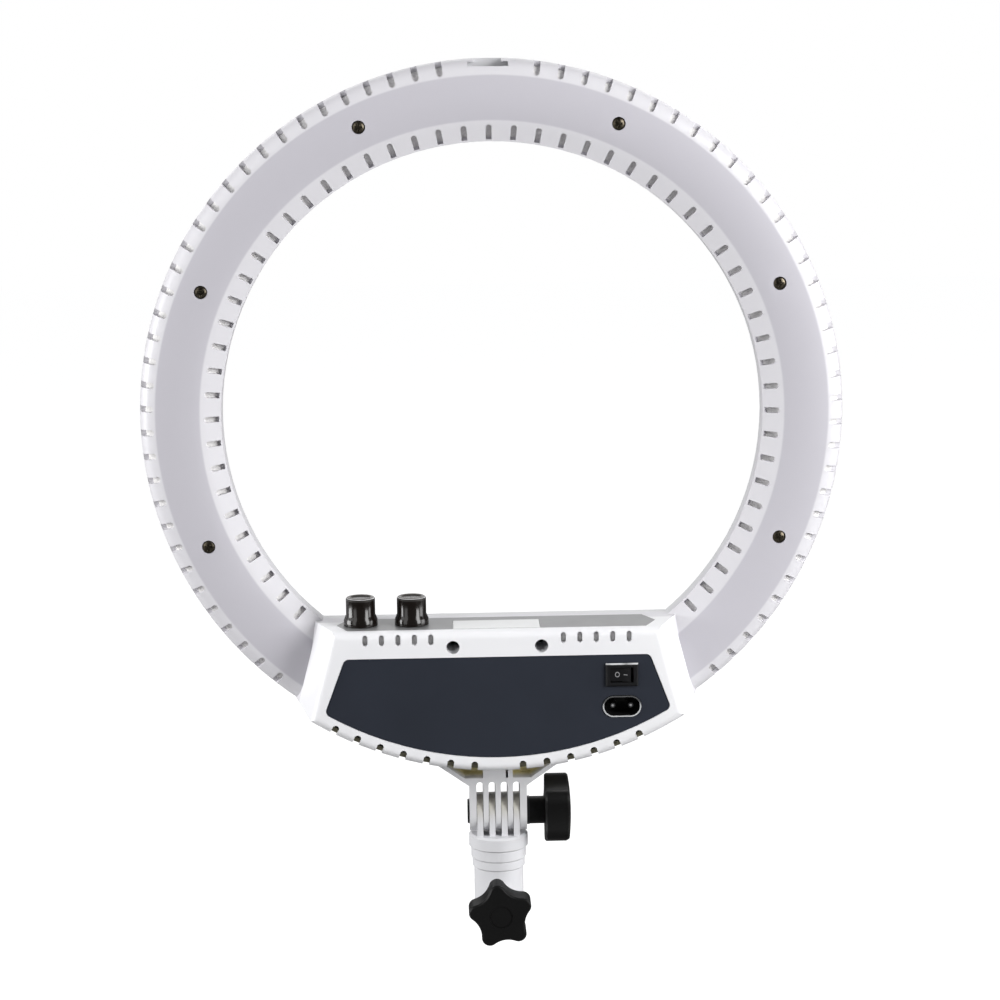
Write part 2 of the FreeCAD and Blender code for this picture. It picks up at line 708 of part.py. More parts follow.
def make_rear_cover():
    """The slotted rear moulding: the ring's back with the control box moulded on it."""
    body = doc.addObject("PartDesign::Body", "rear_cover")
    wall = S.shell_wall
    back = -S.ring_back
    outer = S.ring_radius
    inner = S.opening_radius
    rounding = S.back_rounding

    def on_rounding(angle):
        return outer - rounding + rounding * sine(angle), back + rounding - rounding * cosine(angle)

    box = loft(body, "box_shell", "Additive", [
        (S.parting, box_section(S.parting, 0)),
        (-S.box_back, box_section(-S.box_back, 0)),
    ])
    soften(body, "box_edges", "Fillet", box, S.box_rounding, lambda edge: lies_at(edge, 1, -S.box_back))
    recess = hollow(body, "panel_recess_cut", "XZ_Plane", -S.box_back, S.panel_recess - S.box_back, panel_outline(0))
    soften(body, "panel_recess_corners", "Fillet", recess, S.panel_corner, runs_along_y)
    turned(body, "ring_shell", "XY_Plane", [
        (outer - wall, S.parting),
        (outer, S.parting),
        (outer, back + rounding),
        on_rounding(60),
        on_rounding(30),
        (outer - rounding, back),
        (S.slope_radius, back),
        (inner, back + S.slope_drop),
        (inner, S.parting),
        (inner + wall, S.parting),
        (inner + wall, back + S.slope_drop + wall),
        (S.slope_radius + wall / 2, back + wall),
        (outer - rounding, back + wall),
        (outer - wall, back + rounding),
    ])
    loft(body, "box_inside", "Subtractive", [
        (S.parting, box_section(S.parting, wall)),
        (wall - S.box_back, box_section(wall - S.box_back, wall)),
    ])
    boss_end = S.parting - S.box_post_length
    case_end = S.parting - S.case_post_length
    slab(body, "case_bosses", "XZ_Plane", back + wall / 2, case_end,
         circles=[(x, y, BOSS) for x, y in CASE_SCREWS])
    slab(body, "box_bosses", "XZ_Plane", wall / 2 - S.box_back, boss_end,
         circles=[(x, y, BOSS) for x, y in BOX_SCREWS])
    slab(body, "shoe_block", "XZ_Plane", back + rounding / 2, S.parting, shoe_block_outline())
    hollow(body, "shoe_slot", "XZ_Plane", back, S.parting, shoe_slot_outline())
    hollow(body, "case_recesses", "XZ_Plane", back, back + S.case_screw_depth,
           circles=[(x, y, HEAD_RECESS) for x, y in CASE_SCREWS])
    hollow(body, "case_holes", "XZ_Plane", back, case_end,
           circles=[(x, y, SHANK_HOLE) for x, y in CASE_SCREWS])
    hollow(body, "box_wells", "XZ_Plane", -S.box_back, S.box_well_depth - S.box_back,
           circles=[(x, y, HEAD_RECESS) for x, y in BOX_SCREWS])
    hollow(body, "box_holes", "XZ_Plane", -S.box_back, boss_end,
           circles=[(x, y, SHANK_HOLE) for x, y in BOX_SCREWS])
    hollow(body, "panel_holes", "XZ_Plane", -S.box_back, wall * 2 - S.box_back,
           switch_hole(S.screw_clearance), inlet_hole(S.screw_clearance))
    top = -S.box_drop
    hollow(body, "strip_recess", "XY_Plane", top - S.strip_thickness, top, strip_outline(0))
    hollow(body, "strip_holes", "XY_Plane", top - wall * 2, top, window_outline(S.window_ledge),
           circles=[(-place, -S.dial_back, S.bush_radius + S.seat_gap) for place in DIALS.values()])
    for side, first in (("left", -S.band_slot_first - S.band_slot_pitch * (BAND_SLOTS - 1)),
                        ("right", S.band_slot_first)):
        slot = hollow(body, f"{side}_band_slot", "XZ_Plane", -S.box_back, S.box_rounding - S.box_back,
                      pill_outline(first, top - S.band_slot_low, top - S.band_slot_high, S.band_slot_width))
        repeat_along_x(body, slot, f"{side}_band_slots", S.band_slot_pitch, BAND_SLOTS)
    slot_low = outer - S.slot_length
    for side, first in (("left", -S.slot_first - S.slot_pitch * (S.slot_count - 1)), ("right", S.slot_first)):
        slot = hollow(body, f"{side}_slot", "XZ_Plane", back, back + S.slot_reach,
                      ring_slot_outline(slot_low, outer + wall, S.slot_width), turn=-first)
        repeat_round_y(body, slot, f"{side}_slots", S.slot_pitch, S.slot_count)
    inner_low = inner + S.inner_slot_margin
    inner_slot = hollow(body, "inner_slot", "XZ_Plane", back, back + S.slope_drop + wall,
                        inner_slot_outline(inner_low, inner_low + S.inner_slot_length, S.inner_slot_width),
                        turn=S.inner_slot_pitch * (S.inner_slot_count - 1) / 2)
    repeat_round_y(body, inner_slot, "inner_slots", S.inner_slot_pitch, S.inner_slot_count)
    box_slot_low = outer - S.box_slot_length
    for side, first, count in (("right", 180 - S.slot_pitch * BOTTOM_SLOTS["right"], BOTTOM_SLOTS["right"]),
                               ("left", 180 + S.slot_pitch, BOTTOM_SLOTS["left"])):
        slot = hollow(body, f"{side}_bottom_slot", "XZ_Plane", -S.box_back, S.box_slot_reach - S.box_back,
                      ring_slot_outline(box_slot_low, outer + wall, S.box_slot_width), turn=-first)
        repeat_round_y(body, slot, f"{side}_bottom_slots", S.slot_pitch, count)
    node("rear_cover", body, z=RING_HEIGHT)


FINGER_GAPS = 4  # between the head's five fingers
HEAD_HALF_WIDTH = S.outer_finger_width + (S.finger_gap * FINGER_GAPS + S.finger_width * (FINGER_GAPS - 1)) / 2
FINGER_PITCH = S.finger_width + S.finger_gap
FIRST_GAP = -FINGER_PITCH * (FINGER_GAPS - 1) / 2  # middle of the leftmost gap
BOLT_SEAT = S.bolt_head_height - S.bolt_head_proud - HEAD_HALF_WIDTH  # where the bolt's head rests, along X
SUPPLY_PIN_X = S.supply_width / 2 - S.supply_inset
SUPPLY_PIN_Y = S.supply_height / 2 - S.supply_inset
SUPPLY_PINS = [(side * SUPPLY_PIN_X, end * SUPPLY_PIN_Y - S.supply_drop) for side in (-1, 1) for end in (-1, 1)]


def closure_outline(inset):
    """The part of the box's front inside the ring: a chord above the arc of the opening."""
    radius = S.opening_radius + S.shell_wall / 2 - inset
    drop = S.box_drop + inset
    half_width = root(radius * radius - drop * drop)
    return [(-half_width, -drop), (half_width, -drop, (0, 0), radius, 1)]


def bracket_outline(radius):
    """The bracket's plan: a neck that flares out to an arc about the ring's centre."""
    half = HEAD_HALF_WIDTH
    low = S.flare_rise - S.ring_rise
    foot = S.foot_half_width
    foot_height = -root(radius * radius - foot * foot)
    return [(-half, low), (half, low), (foot, foot_height), (-foot, foot_height, (0, 0), radius, -1)]


def bracket_pocket_outline(side):
    """The hollow in the bracket's rear between its middle block, its foot and its flare."""
    half, start = HEAD_HALF_WIDTH, S.flare_rise - S.ring_rise
    radius = S.ring_radius + S.bracket_gap + S.bracket_wall
    foot = S.foot_half_width
    foot_height = -root(S.ring_radius * S.ring_radius - foot * foot)
    slope = (foot_height - start) / (foot - half)
    stretch = slope * slope + 1
    rise = start - slope * half + S.bracket_wall * root(stretch)  # the flare's inner line is y = rise + slope * x
    low = S.neck_rise - S.ring_rise + S.bracket_wall
    low_x = (low - rise) / slope
    high_x = -(slope * rise + root(radius * radius * stretch - rise * rise)) / stretch
    block_x = S.bracket_block
    block_height = -root(radius * radius - block_x * block_x)
    return [
        (side * block_x, low),
        (side * low_x, low),
        (side * high_x, rise + slope * high_x),
        (side * block_x, block_height, (0, 0), radius, -side),
    ]


def make_front_housing():
    """The white front moulding with the bracket and the head's hinge fingers."""
    body = doc.addObject("PartDesign::Body", "front_housing")
    wall = S.shell_wall
    outer = S.ring_radius
    inner = S.opening_radius
    front = S.ring_front
    ledge = front - S.rebate_depth
    web_front = S.parting + S.web_thickness
    chamfer = S.rim_chamfer
    step = S.rebate_width
    turned(body, "channel", "XY_Plane", [
        (inner, S.parting),
        (outer, S.parting),
        (outer, front - chamfer),
        (outer - chamfer, front),
        (outer - wall + step, front),
        (outer - wall + step, ledge),
        (outer - wall, ledge),
        (outer - wall, web_front),
        (inner + wall, web_front),
        (inner + wall, ledge),
        (inner + wall - step, ledge),
        (inner + wall - step, front),
        (inner + chamfer, front),
        (inner, front - chamfer),
    ])
    closure_back = S.closure_front - S.closure_thickness
    slab(body, "closure", "XZ_Plane", S.parting, S.closure_front, closure_outline(0))
    hollow(body, "closure_pocket", "XZ_Plane", S.parting, closure_back, closure_outline(wall))
    case_post = S.parting - S.case_post_length
    box_post = S.parting - S.box_post_length
    in_web = S.parting + S.web_thickness / 2
    slab(body, "case_posts", "XZ_Plane", case_post, in_web, circles=[(x, y, BOSS) for x, y in CASE_SCREWS])
    slab(body, "box_posts", "XZ_Plane", box_post, closure_back + S.closure_thickness / 2,
         circles=[(x, y, BOSS) for x, y in BOX_SCREWS])
    slab(body, "supply_posts", "XZ_Plane", S.supply_front, in_web,
         circles=[(x, y, S.supply_post) for x, y in SUPPLY_PINS])
    slab(body, "supply_pins", "XZ_Plane", S.supply_front - S.board_thickness - S.supply_pin_proud, S.supply_front,
         circles=[(x, y, S.supply_pin) for x, y in SUPPLY_PINS])
    hole = S.case_screw_shank + S.thread_gap
    hollow(body, "case_holes", "XZ_Plane", case_post, in_web - S.web_thickness / 2 - S.screw_clearance,
           circles=[(x, y, hole) for x, y in CASE_SCREWS])
    hollow(body, "box_holes", "XZ_Plane", box_post, closure_back - S.screw_clearance,
           circles=[(x, y, hole) for x, y in BOX_SCREWS])
    slab(body, "shoe_block", "XZ_Plane", S.parting, ledge, shoe_block_outline())
    hollow(body, "shoe_slot", "XZ_Plane", S.parting, S.shoe_end, shoe_slot_outline())
    pivot = -S.ring_rise
    radius = S.hinge_radius
    back = -radius
    slab(body, "bracket_back", "XZ_Plane", back, S.parting, bracket_outline(outer + S.bracket_gap))
    slab(body, "bracket_front", "XZ_Plane", S.parting, front, bracket_outline(outer - wall / 2))
    flare = pivot + S.flare_rise
    slab(body, "finger_block", "YZ_Plane", -HEAD_HALF_WIDTH, HEAD_HALF_WIDTH, [
        (back, pivot),
        (radius, pivot, (0, pivot), radius, 1),
        (front, flare),
        (front, flare + wall),
        (back, flare + wall),
    ])
    for side, label in ((-1, "left"), (1, "right")):
        hollow(body, f"{label}_pocket", "XZ_Plane", back, back + S.bracket_pocket, bracket_pocket_outline(side))
    slit_half = S.bracket_slit / 2
    slit_top = -S.ring_radius - S.bracket_gap - S.bracket_wall
    hollow(body, "middle_slit", "XZ_Plane", back, back + S.bracket_pocket,
           rectangle(S.slit_place - slit_half, S.slit_place + slit_half,
                     pivot + S.neck_rise + S.bracket_wall, slit_top))
    gap = FIRST_GAP
    gap_half = S.finger_gap / 2
    gap_top = pivot + S.neck_rise - gap_half
    finger_gap = hollow(body, "finger_gap", "XZ_Plane", back - wall, radius + wall,
                        [
                            (gap - gap_half, pivot - radius - wall),
                            (gap + gap_half, pivot - radius - wall),
                            (gap + gap_half, gap_top),
                            (gap - gap_half, gap_top, (gap, gap_top), gap_half, 1),
                        ])
    repeat_along_x(body, finger_gap, "finger_gaps", FINGER_PITCH, FINGER_GAPS)
    hollow(body, "bolt_hole", "YZ_Plane", -HEAD_HALF_WIDTH, HEAD_HALF_WIDTH,
           circles=[(0, pivot, S.bolt_radius + S.thread_gap)])
    hollow(body, "bolt_recess", "YZ_Plane", -HEAD_HALF_WIDTH, BOLT_SEAT,
           circles=[(0, pivot, S.bolt_head_radius + S.screw_clearance)])
    node("front_housing", body, z=RING_HEIGHT)


def make_diffuser():
    """The translucent ring that closes the front."""
    body = doc.addObject("PartDesign::Body", "diffuser")
    inset = S.shell_wall - S.rebate_width + S.seat_gap
    low = S.opening_radius + inset
    high = S.ring_radius - inset
    back = S.ring_front - S.rebate_depth
    edge = back + S.diffuser_edge
    half = (high - low) / 2
    crown = S.diffuser_crown
    bow = (half * half + crown * crown) / (2 * crown)
    turned(body, "lens", "XY_Plane", [
        (low, back),
        (high, back),
        (high, edge),
        (low, edge, ((low + high) / 2, edge + crown - bow), bow, 1),
    ])
    node("diffuser", body, z=RING_HEIGHT)


BOARD_INNER = S.opening_radius + S.shell_wall + S.board_margin
BOARD_OUTER = shoe_floor_height() - S.shoe_floor - S.board_margin
BOARD_BACK = S.parting + S.web_thickness


def make_led_board():
    body = doc.addObject("PartDesign::Body", "led_board")
    slab(body, "board", "XZ_Plane", BOARD_BACK, BOARD_BACK + S.board_thickness,
         circles=[(0, 0, BOARD_OUTER), (0, 0, BOARD_INNER)])
    node("led_board", body, z=RING_HEIGHT)


def make_leds(name, turn):
    """One colour of LEDs, in two rows round the board."""
    body = doc.addObject("PartDesign::Body", name)
    back = BOARD_BACK + S.board_thickness
    half_length = S.led_length / 2
    half_width = S.led_width / 2
    rows = [rectangle(-half_length, half_length, radius - half_width, radius + half_width)
            for radius in (BOARD_INNER + S.led_inset, BOARD_OUTER - S.led_inset)]
    pair = slab(body, "first_leds", "XZ_Plane", back, back + S.led_height, *rows, turn=turn)
    repeat_round_y(body, pair, "all_leds", 360 / S.led_pairs, S.led_pairs)
    node(name, body, z=RING_HEIGHT)


def make_rear_panel():
    body = doc.addObject("PartDesign::Body", "rear_panel")
    plate = slab(body, "plate", "XZ_Plane", PANEL_FACE, PANEL_FACE + S.panel_thickness, panel_outline(S.seat_gap))
    soften(body, "corners", "Fillet", plate, S.panel_corner - S.seat_gap, runs_along_y)
    hollow(body, "holes", "XZ_Plane", PANEL_FACE, PANEL_FACE + S.panel_thickness,
           switch_hole(S.screw_clearance), inlet_hole(S.screw_clearance))
    node("rear_panel", body, z=RING_HEIGHT)


def make_control_strip():
    body = doc.addObject("PartDesign::Body", "control_strip")
    top = -S.box_drop
    slab(body, "plate", "XY_Plane", top - S.strip_thickness, top, strip_outline(S.seat_gap), window_outline(0),
         circles=[(-place, -S.dial_back, S.bush_radius + S.seat_gap) for place in DIALS.values()])
    node("control_strip", body, z=RING_HEIGHT)


def make_display():
    """The clear window in the strip and the display module bonded below it."""
    top = -S.box_drop
    seat = top - S.strip_thickness
    window = doc.addObject("PartDesign::Body", "lcd_window")
    slab(window, "glass", "XY_Plane", seat, top, window_outline(S.seat_gap))
    node("lcd_window", window, z=RING_HEIGHT)
    module = doc.addObject("PartDesign::Body", "lcd_module")
    slab(module, "display", "XY_Plane", seat - S.display_thickness, seat, window_outline(S.window_ledge + S.seat_gap))
    node("lcd_module", module, z=RING_HEIGHT)


AXLE_Y = PANEL_FACE + S.rocker_sunk


def make_switch():
    x, z = SWITCH
    body = doc.addObject("PartDesign::Body", "switch_body")
    face = PANEL_FACE - S.switch_proud
    half_width = S.switch_width / 2
    half_height = S.switch_height / 2
    bezel = slab(body, "bezel", "XZ_Plane", face, PANEL_FACE,
                 rectangle(x - half_width, x + half_width, z - half_height, z + half_height))
    soften(body, "bezel_edges", "Chamfer", bezel, S.bezel_chamfer, lambda edge: lies_at(edge, 1, face))
    slab(body, "case", "XZ_Plane", PANEL_FACE, PANEL_FACE + S.switch_body_depth, switch_hole(0))
    room_x = S.rocker_half_width + S.rocker_gap * 2
    room_z = S.rocker_height / 2 + S.rocker_gap
    hollow(body, "cavity", "XZ_Plane", face, AXLE_Y + S.rocker_cavity,
           rectangle(x - room_x, x + room_x, z - room_z, z + room_z))
    reach = S.rocker_height / 2 + S.axle_reach + S.running_gap
    hollow(body, "axle_holes", "XY_Plane", z - reach, z + reach, circles=[(x, AXLE_Y, S.axle_radius + S.running_gap)])
    node("switch_body", body, z=RING_HEIGHT)
    rocker = doc.addObject("PartDesign::Body", "power_rocker")
    half = S.rocker_half_width
    belly = S.rocker_belly
    height = S.rocker_height / 2
    slab(rocker, "key", "XY_Plane", -height, height, [
        (-half, -S.rocker_crown),
        (0, -S.rocker_dip),
        (half, -S.rocker_crown),
        (half - S.rocker_gap, belly / 4),
        (half / 2, belly),
        (-half / 2, belly),
        (S.rocker_gap - half, belly / 4),
    ])
    slab(rocker, "axle", "XY_Plane", -height - S.axle_reach, height + S.axle_reach, circles=[(0, 0, S.axle_radius)])
    node("power_rocker", rocker, x=x, y=AXLE_Y, z=RING_HEIGHT + z)
    bind(rocker, "Placement.Rotation.Angle", -S.rocker_lean)


def make_inlet():
    x, z = INLET
    body = doc.addObject("PartDesign::Body", "ac_inlet")
    face = PANEL_FACE - S.inlet_proud
    back = PANEL_FACE + S.inlet_depth
    floor = PANEL_FACE + S.inlet_cavity
    pins = [(x + side * S.pin_spacing / 2, z, S.pin_radius) for side in (-1, 1)]
    slab(body, "shell", "XZ_Plane", face, back, stadium(x, z, S.inlet_width / 2, S.inlet_height / 2))
    hollow(body, "cavity", "XZ_Plane", face, floor,
           stadium(x, z, S.inlet_width / 2 - S.inlet_rim, S.inlet_height / 2 - S.inlet_rim))
    hollow(body, "pin_holes", "XZ_Plane", floor, back, circles=pins)
    node("ac_inlet", body, z=RING_HEIGHT)
    contacts = doc.addObject("PartDesign::Body", "inlet_pins")
    slab(contacts, "pins", "XZ_Plane", face + S.pin_sunk, back + S.pin_tail, circles=pins)
    node("inlet_pins", contacts, z=RING_HEIGHT)


def make_power_supply():
    body = doc.addObject("PartDesign::Body", "power_supply_board")
    half_width = S.supply_width / 2
    half_height = S.supply_height / 2
    middle = -S.supply_drop
    face = S.supply_front - S.board_thickness
    slab(body, "board", "XZ_Plane", face, S.supply_front,
         rectangle(-half_width, half_width, middle - half_height, middle + half_height),
         circles=[(x, y, S.supply_pin + S.seat_gap) for x, y in SUPPLY_PINS])
    slab(body, "transformer", "XZ_Plane", face - S.transformer_depth, face,
         rectangle(-S.transformer_width / 2, S.transformer_width / 2,
                   middle - S.transformer_height / 2, middle + S.transformer_height / 2))
    radius = S.capacitor_radius
    slab(body, "capacitors", "XZ_Plane", face - S.capacitor_length, face, circles=[
        (-half_width / 2, middle, radius),
        (half_width / 2 + radius / 2, middle - radius, radius / 2),
        (half_width / 2 + radius / 2, middle + radius, radius / 2),
    ])
    fin = -half_width + S.supply_inset * 2
    slab(body, "heatsink", "XZ_Plane", face - S.heatsink_depth, face,
         rectangle(fin, fin + S.heatsink_thickness, middle - half_height / 2, middle + half_height / 2))
    node("power_supply_board", body, z=RING_HEIGHT)


def make_dimmers():
    """The dimmer board under the strip with its two potentiometers, and the dials on their shafts."""
    under_wall = -S.box_drop - S.shell_wall
    board_top = under_wall - S.pot_height
    middle = -(S.left_dial_place + S.right_dial_place) / 2
    half_width = S.control_board_width / 2
    half_depth = S.control_board_depth / 2
    board = doc.addObject("PartDesign::Body", "control_board")
    slab(board, "board", "XY_Plane", board_top - S.board_thickness, board_top,
         rectangle(middle - half_width, middle + half_width, -S.dial_back - half_depth, half_depth - S.dial_back))
    node("control_board", board, z=RING_HEIGHT)
    bore = S.shaft_radius + S.running_gap
    shaft_foot = S.pot_floor + S.running_gap - S.pot_height
    dial_foot = S.shell_wall + S.dial_gap
    barrel_top = S.dial_height - S.cap_height
    for side, place in DIALS.items():
        spot = {"x": -place, "y": -S.dial_back}
        pot = doc.addObject("PartDesign::Body", f"{side}_pot")
        turned(pot, "case", "XZ_Plane", [
            (0, -S.pot_height),
            (S.pot_radius, -S.pot_height),
            (S.pot_radius, 0),
            (S.bush_radius, 0),
            (S.bush_radius, S.shell_wall),
            (bore, S.shell_wall),
            (bore, S.pot_floor - S.pot_height),
            (0, S.pot_floor - S.pot_height),
        ])
        node(f"{side}_pot", pot, z=RING_HEIGHT + under_wall, **spot)
        shaft = rod(f"{side}_dial_shaft", "Z", (-place, -S.dial_back, RING_HEIGHT + under_wall + shaft_foot),
                    S.shaft_radius, dial_foot + S.shaft_grip - shaft_foot)
        node(f"{side}_dial_shaft", shaft)
        dial = doc.addObject("PartDesign::Body", f"{side}_dial")
        turned(dial, "grip", "XZ_Plane", [
            (S.shaft_radius, 0),
            (S.dial_skirt, 0),
            (S.dial_skirt, S.dial_skirt_height),
            (S.dial_radius, S.dial_skirt_height + S.dial_flare_height),
            (S.dial_radius, barrel_top),
            (0, barrel_top),
            (0, S.shaft_grip),
            (S.shaft_radius, S.shaft_grip),
        ])
        node(f"{side}_dial", dial, z=RING_HEIGHT + under_wall + dial_foot, **spot)
        cap = doc.addObject("PartDesign::Body", f"{side}_dial_cap")
        face = S.dial_radius - S.cap_chamfer - S.cap_rim
        turned(cap, "disc", "XZ_Plane", [
            (0, 0),
            (S.dial_radius, 0),
            (S.dial_radius, S.cap_height - S.cap_chamfer),
            (S.dial_radius - S.cap_chamfer, S.cap_height),
            (face, S.cap_height),
            (face - S.cap_recess, S.cap_height - S.cap_recess),
            (0, S.cap_height - S.cap_recess),
        ])
        node(f"{side}_dial_cap", cap, z=RING_HEIGHT + under_wall + dial_foot + barrel_top, **spot)


def make_screws(name, places, seat, length):
    body = doc.addObject("PartDesign::Body", name)
    slab(body, "heads", "XZ_Plane", seat - S.screw_head_height, seat,
         circles=[(x, y, S.case_screw_head) for x, y in places])
    slab(body, "shanks", "XZ_Plane", seat, seat + length, circles=[(x, y, S.case_screw_shank) for x, y in places])
    node(name, body, z=RING_HEIGHT)


KNOB_START = HEAD_HALF_WIDTH + S.washer_thickness
LOBES = 5  # of the star knobs


def star(turn, growth):
    """The star knob's outline about its axis: round lobes with wide round valleys between them."""
    lobe = S.lobe_radius * growth
    lobe_place = S.knob_reach * growth - lobe
    half_pitch = 180 / LOBES
    ahead = lobe_place * cosine(half_pitch)
    low = S.valley_reach * growth
    valley = (lobe_place * lobe_place + low * low - 2 * low * ahead - lobe * lobe) / (2 * (ahead - low + lobe))
    valley_place = low + valley
    share = lobe / (lobe + valley)
    corners = []
    for index in range(LOBES):
        at = turn + 2 * half_pitch * index
        before, after = at - half_pitch, at + half_pitch
        lobe_x, lobe_y = lobe_place * cosine(at), lobe_place * sine(at)
        after_x, after_y = valley_place * cosine(after), valley_place * sine(after)
        before_x, before_y = valley_place * cosine(before), valley_place * sine(before)
        corners.append((lobe_x + (before_x - lobe_x) * share, lobe_y + (before_y - lobe_y) * share,
                        (before_x, before_y), valley, -1))
        corners.append((lobe_x + (after_x - lobe_x) * share, lobe_y + (after_y - lobe_y) * share,
                        (lobe_x, lobe_y), lobe, 1))
    return corners


def make_knob(name, plane, bore, start, facing, turn, growth=1, dome=None):
    """A star knob whose hub starts at one place along its axis and whose face looks along +axis or -axis."""
    body = doc.addObject("PartDesign::Body", name)
    axis = {"YZ_Plane": 0, "XZ_Plane": 1}[plane]
    head = start + facing * S.knob_hub_length
    face = head + facing * S.knob_head_length

    def between(one, other):
        return (one, other) if facing > 0 else (other, one)

    def on_rim(edge):
        """Whether the edge runs along the star's outline, at the head's back or at its face."""
        ends = [vertex.Point for vertex in edge.Vertexes]
        sides = {(end[axis] - number_of(head)) * facing > number_of(S.knob_head_length) / 2 for end in ends}
        return len(sides) == 1 and all(end.Length ** 2 - end[axis] ** 2 > number_of(S.knob_hub_radius) ** 2 for end in ends)

    top = slab(body, "head", plane, *between(head, face), star(turn, growth))
    recess = S.knob_disc_radius
    floor = face - facing * S.knob_disc_depth
    if dome:
        wide = S.knob_reach * growth + S.knob_chamfer
        bow = (wide * wide + dome * dome) / (2 * dome)
        top = turned(body, "domed_face", "XY_Plane", [
            (face - dome, wide, (face - bow, 0), bow, 1),
            (face + S.knob_chamfer, wide),
            (face + S.knob_chamfer, 0),
            (floor, 0),
            (floor, recess),
            (face - bow + root(bow * bow - recess * recess), recess),
        ], "H_Axis", "Groove")
    soften(body, "head_edges", "Chamfer", top, S.knob_chamfer, on_rim)
    if not dome:
        hollow(body, "disc_recess", plane, *between(floor, face), circles=[(0, 0, recess)])
    slab(body, "hub", plane, *between(start, head + facing * S.knob_chamfer), circles=[(0, 0, S.knob_hub_radius)])
    hollow(body, "bore", plane, *between(start, start + facing * S.knob_bore_depth), circles=[(0, 0, bore)])
    return body, face


def make_knob_cap(name, plane, face, facing):
    body = doc.addObject("PartDesign::Body", name)
    floor = face - facing * S.knob_disc_depth
    top = floor + facing * S.knob_disc_thickness
    slab(body, "disc", plane, *((floor, top) if facing > 0 else (top, floor)),
         circles=[(0, 0, S.knob_disc_radius - S.seat_gap)])
    return body


def make_hinge_clamp():
    """The hinge bolt with its washer and star knob."""
    bolt = doc.addObject("PartDesign::Body", "hinge_bolt")
    slab(bolt, "head", "YZ_Plane", BOLT_SEAT - S.bolt_head_height, BOLT_SEAT, circles=[(0, 0, S.bolt_head_radius)])
    slab(bolt, "shank", "YZ_Plane", BOLT_SEAT, BOLT_SEAT + S.bolt_length,
         circles=[(0, 0, S.bolt_radius)])
    node("hinge_bolt", bolt, z=S.pivot_height)
    washer = doc.addObject("PartDesign::Body", "tilt_washer")
    slab(washer, "disc", "YZ_Plane", HEAD_HALF_WIDTH, KNOB_START,
         circles=[(0, 0, S.washer_radius), (0, 0, S.bolt_radius + S.running_gap)])
    node("tilt_washer", washer, z=S.pivot_height)
    knob, face = make_knob("tilt_knob", "YZ_Plane", S.bolt_radius + S.running_gap, KNOB_START, 1, 0,
                           S.tilt_knob_growth, S.knob_dome)
    hollow(knob, "insert_seat", "YZ_Plane", KNOB_START, KNOB_START + S.insert_length,
           circles=[(0, 0, S.insert_radius)])
    node("tilt_knob", knob, z=S.pivot_height)
    insert = doc.addObject("PartDesign::Body", "tilt_knob_insert")
    slab(insert, "sleeve", "YZ_Plane", KNOB_START, KNOB_START + S.insert_length,
         circles=[(0, 0, S.insert_radius), (0, 0, S.bolt_radius + S.thread_gap)])
    node("tilt_knob_insert", insert, z=S.pivot_height)
    node("tilt_knob_cap", make_knob_cap("tilt_knob_cap", "YZ_Plane", face, 1), z=S.pivot_height)


def make_stand_socket():
    """The white socket with the lower fingers, the stepped collar and the stand bore."""
    body = doc.addObject("PartDesign::Body", "stand_socket")
    shoulder = S.pivot_height - S.shoulder_drop
    bore = S.socket_bore
    step = S.band_step
    turned(body, "shell", "XZ_Plane", [
        (bore, 0),
        (S.socket_radius - S.mouth_chamfer, 0),
        (S.socket_radius, S.mouth_chamfer),
        (S.socket_radius, S.low_band_height),
        (S.low_band_radius, S.low_band_height + step),
        (S.low_band_radius, S.high_band_height),
        (S.high_band_radius, S.high_band_height + step),
        (S.high_band_radius, S.collar_height),
        (S.collar_radius, S.collar_height + step),
        (S.collar_radius, shoulder - S.collar_chamfer),
        (S.collar_radius - S.collar_chamfer, shoulder),
        (0, shoulder),
        (0, S.socket_depth),
        (bore, S.socket_depth),
    ])
    finger = FIRST_GAP
    half = S.finger_gap / 2 - S.side_gap
    radius = S.socket_finger_radius
    foot = shoulder - S.collar_chamfer
    first = slab(body, "finger", "YZ_Plane", finger - half, finger + half, [
        (-radius, foot),
        (radius, foot),
        (radius, S.pivot_height),
        (-radius, S.pivot_height, (0, S.pivot_height), radius, 1),
    ])
    repeat_along_x(body, first, "fingers", FINGER_PITCH, FINGER_GAPS)
    hollow(body, "bolt_hole", "YZ_Plane", -HEAD_HALF_WIDTH, HEAD_HALF_WIDTH,
           circles=[(0, S.pivot_height, S.bolt_radius + S.thread_gap * 2)])
    clamp = S.clamp_height
    slab(body, "clamp_boss", "XZ_Plane", -S.clamp_boss_end, -bore - S.shell_wall,
         circles=[(0, clamp, S.clamp_boss_radius)])
    hollow(body, "nut_pocket", "XZ_Plane", -S.clamp_boss_end, S.nut_length - S.clamp_boss_end,
           polygon(0, clamp, S.nut_radius, 6, 30))
    hollow(body, "screw_hole", "XZ_Plane", S.nut_length - S.clamp_boss_end, 0,
           circles=[(0, clamp, S.bolt_radius + S.thread_gap * 2)])
    hollow(body, "pad_hole", "XZ_Plane", -bore - S.pad_thickness - S.screw_clearance, 0,
           circles=[(0, clamp, S.pad_radius + S.thread_gap * 2)])
    node("stand_socket", body)


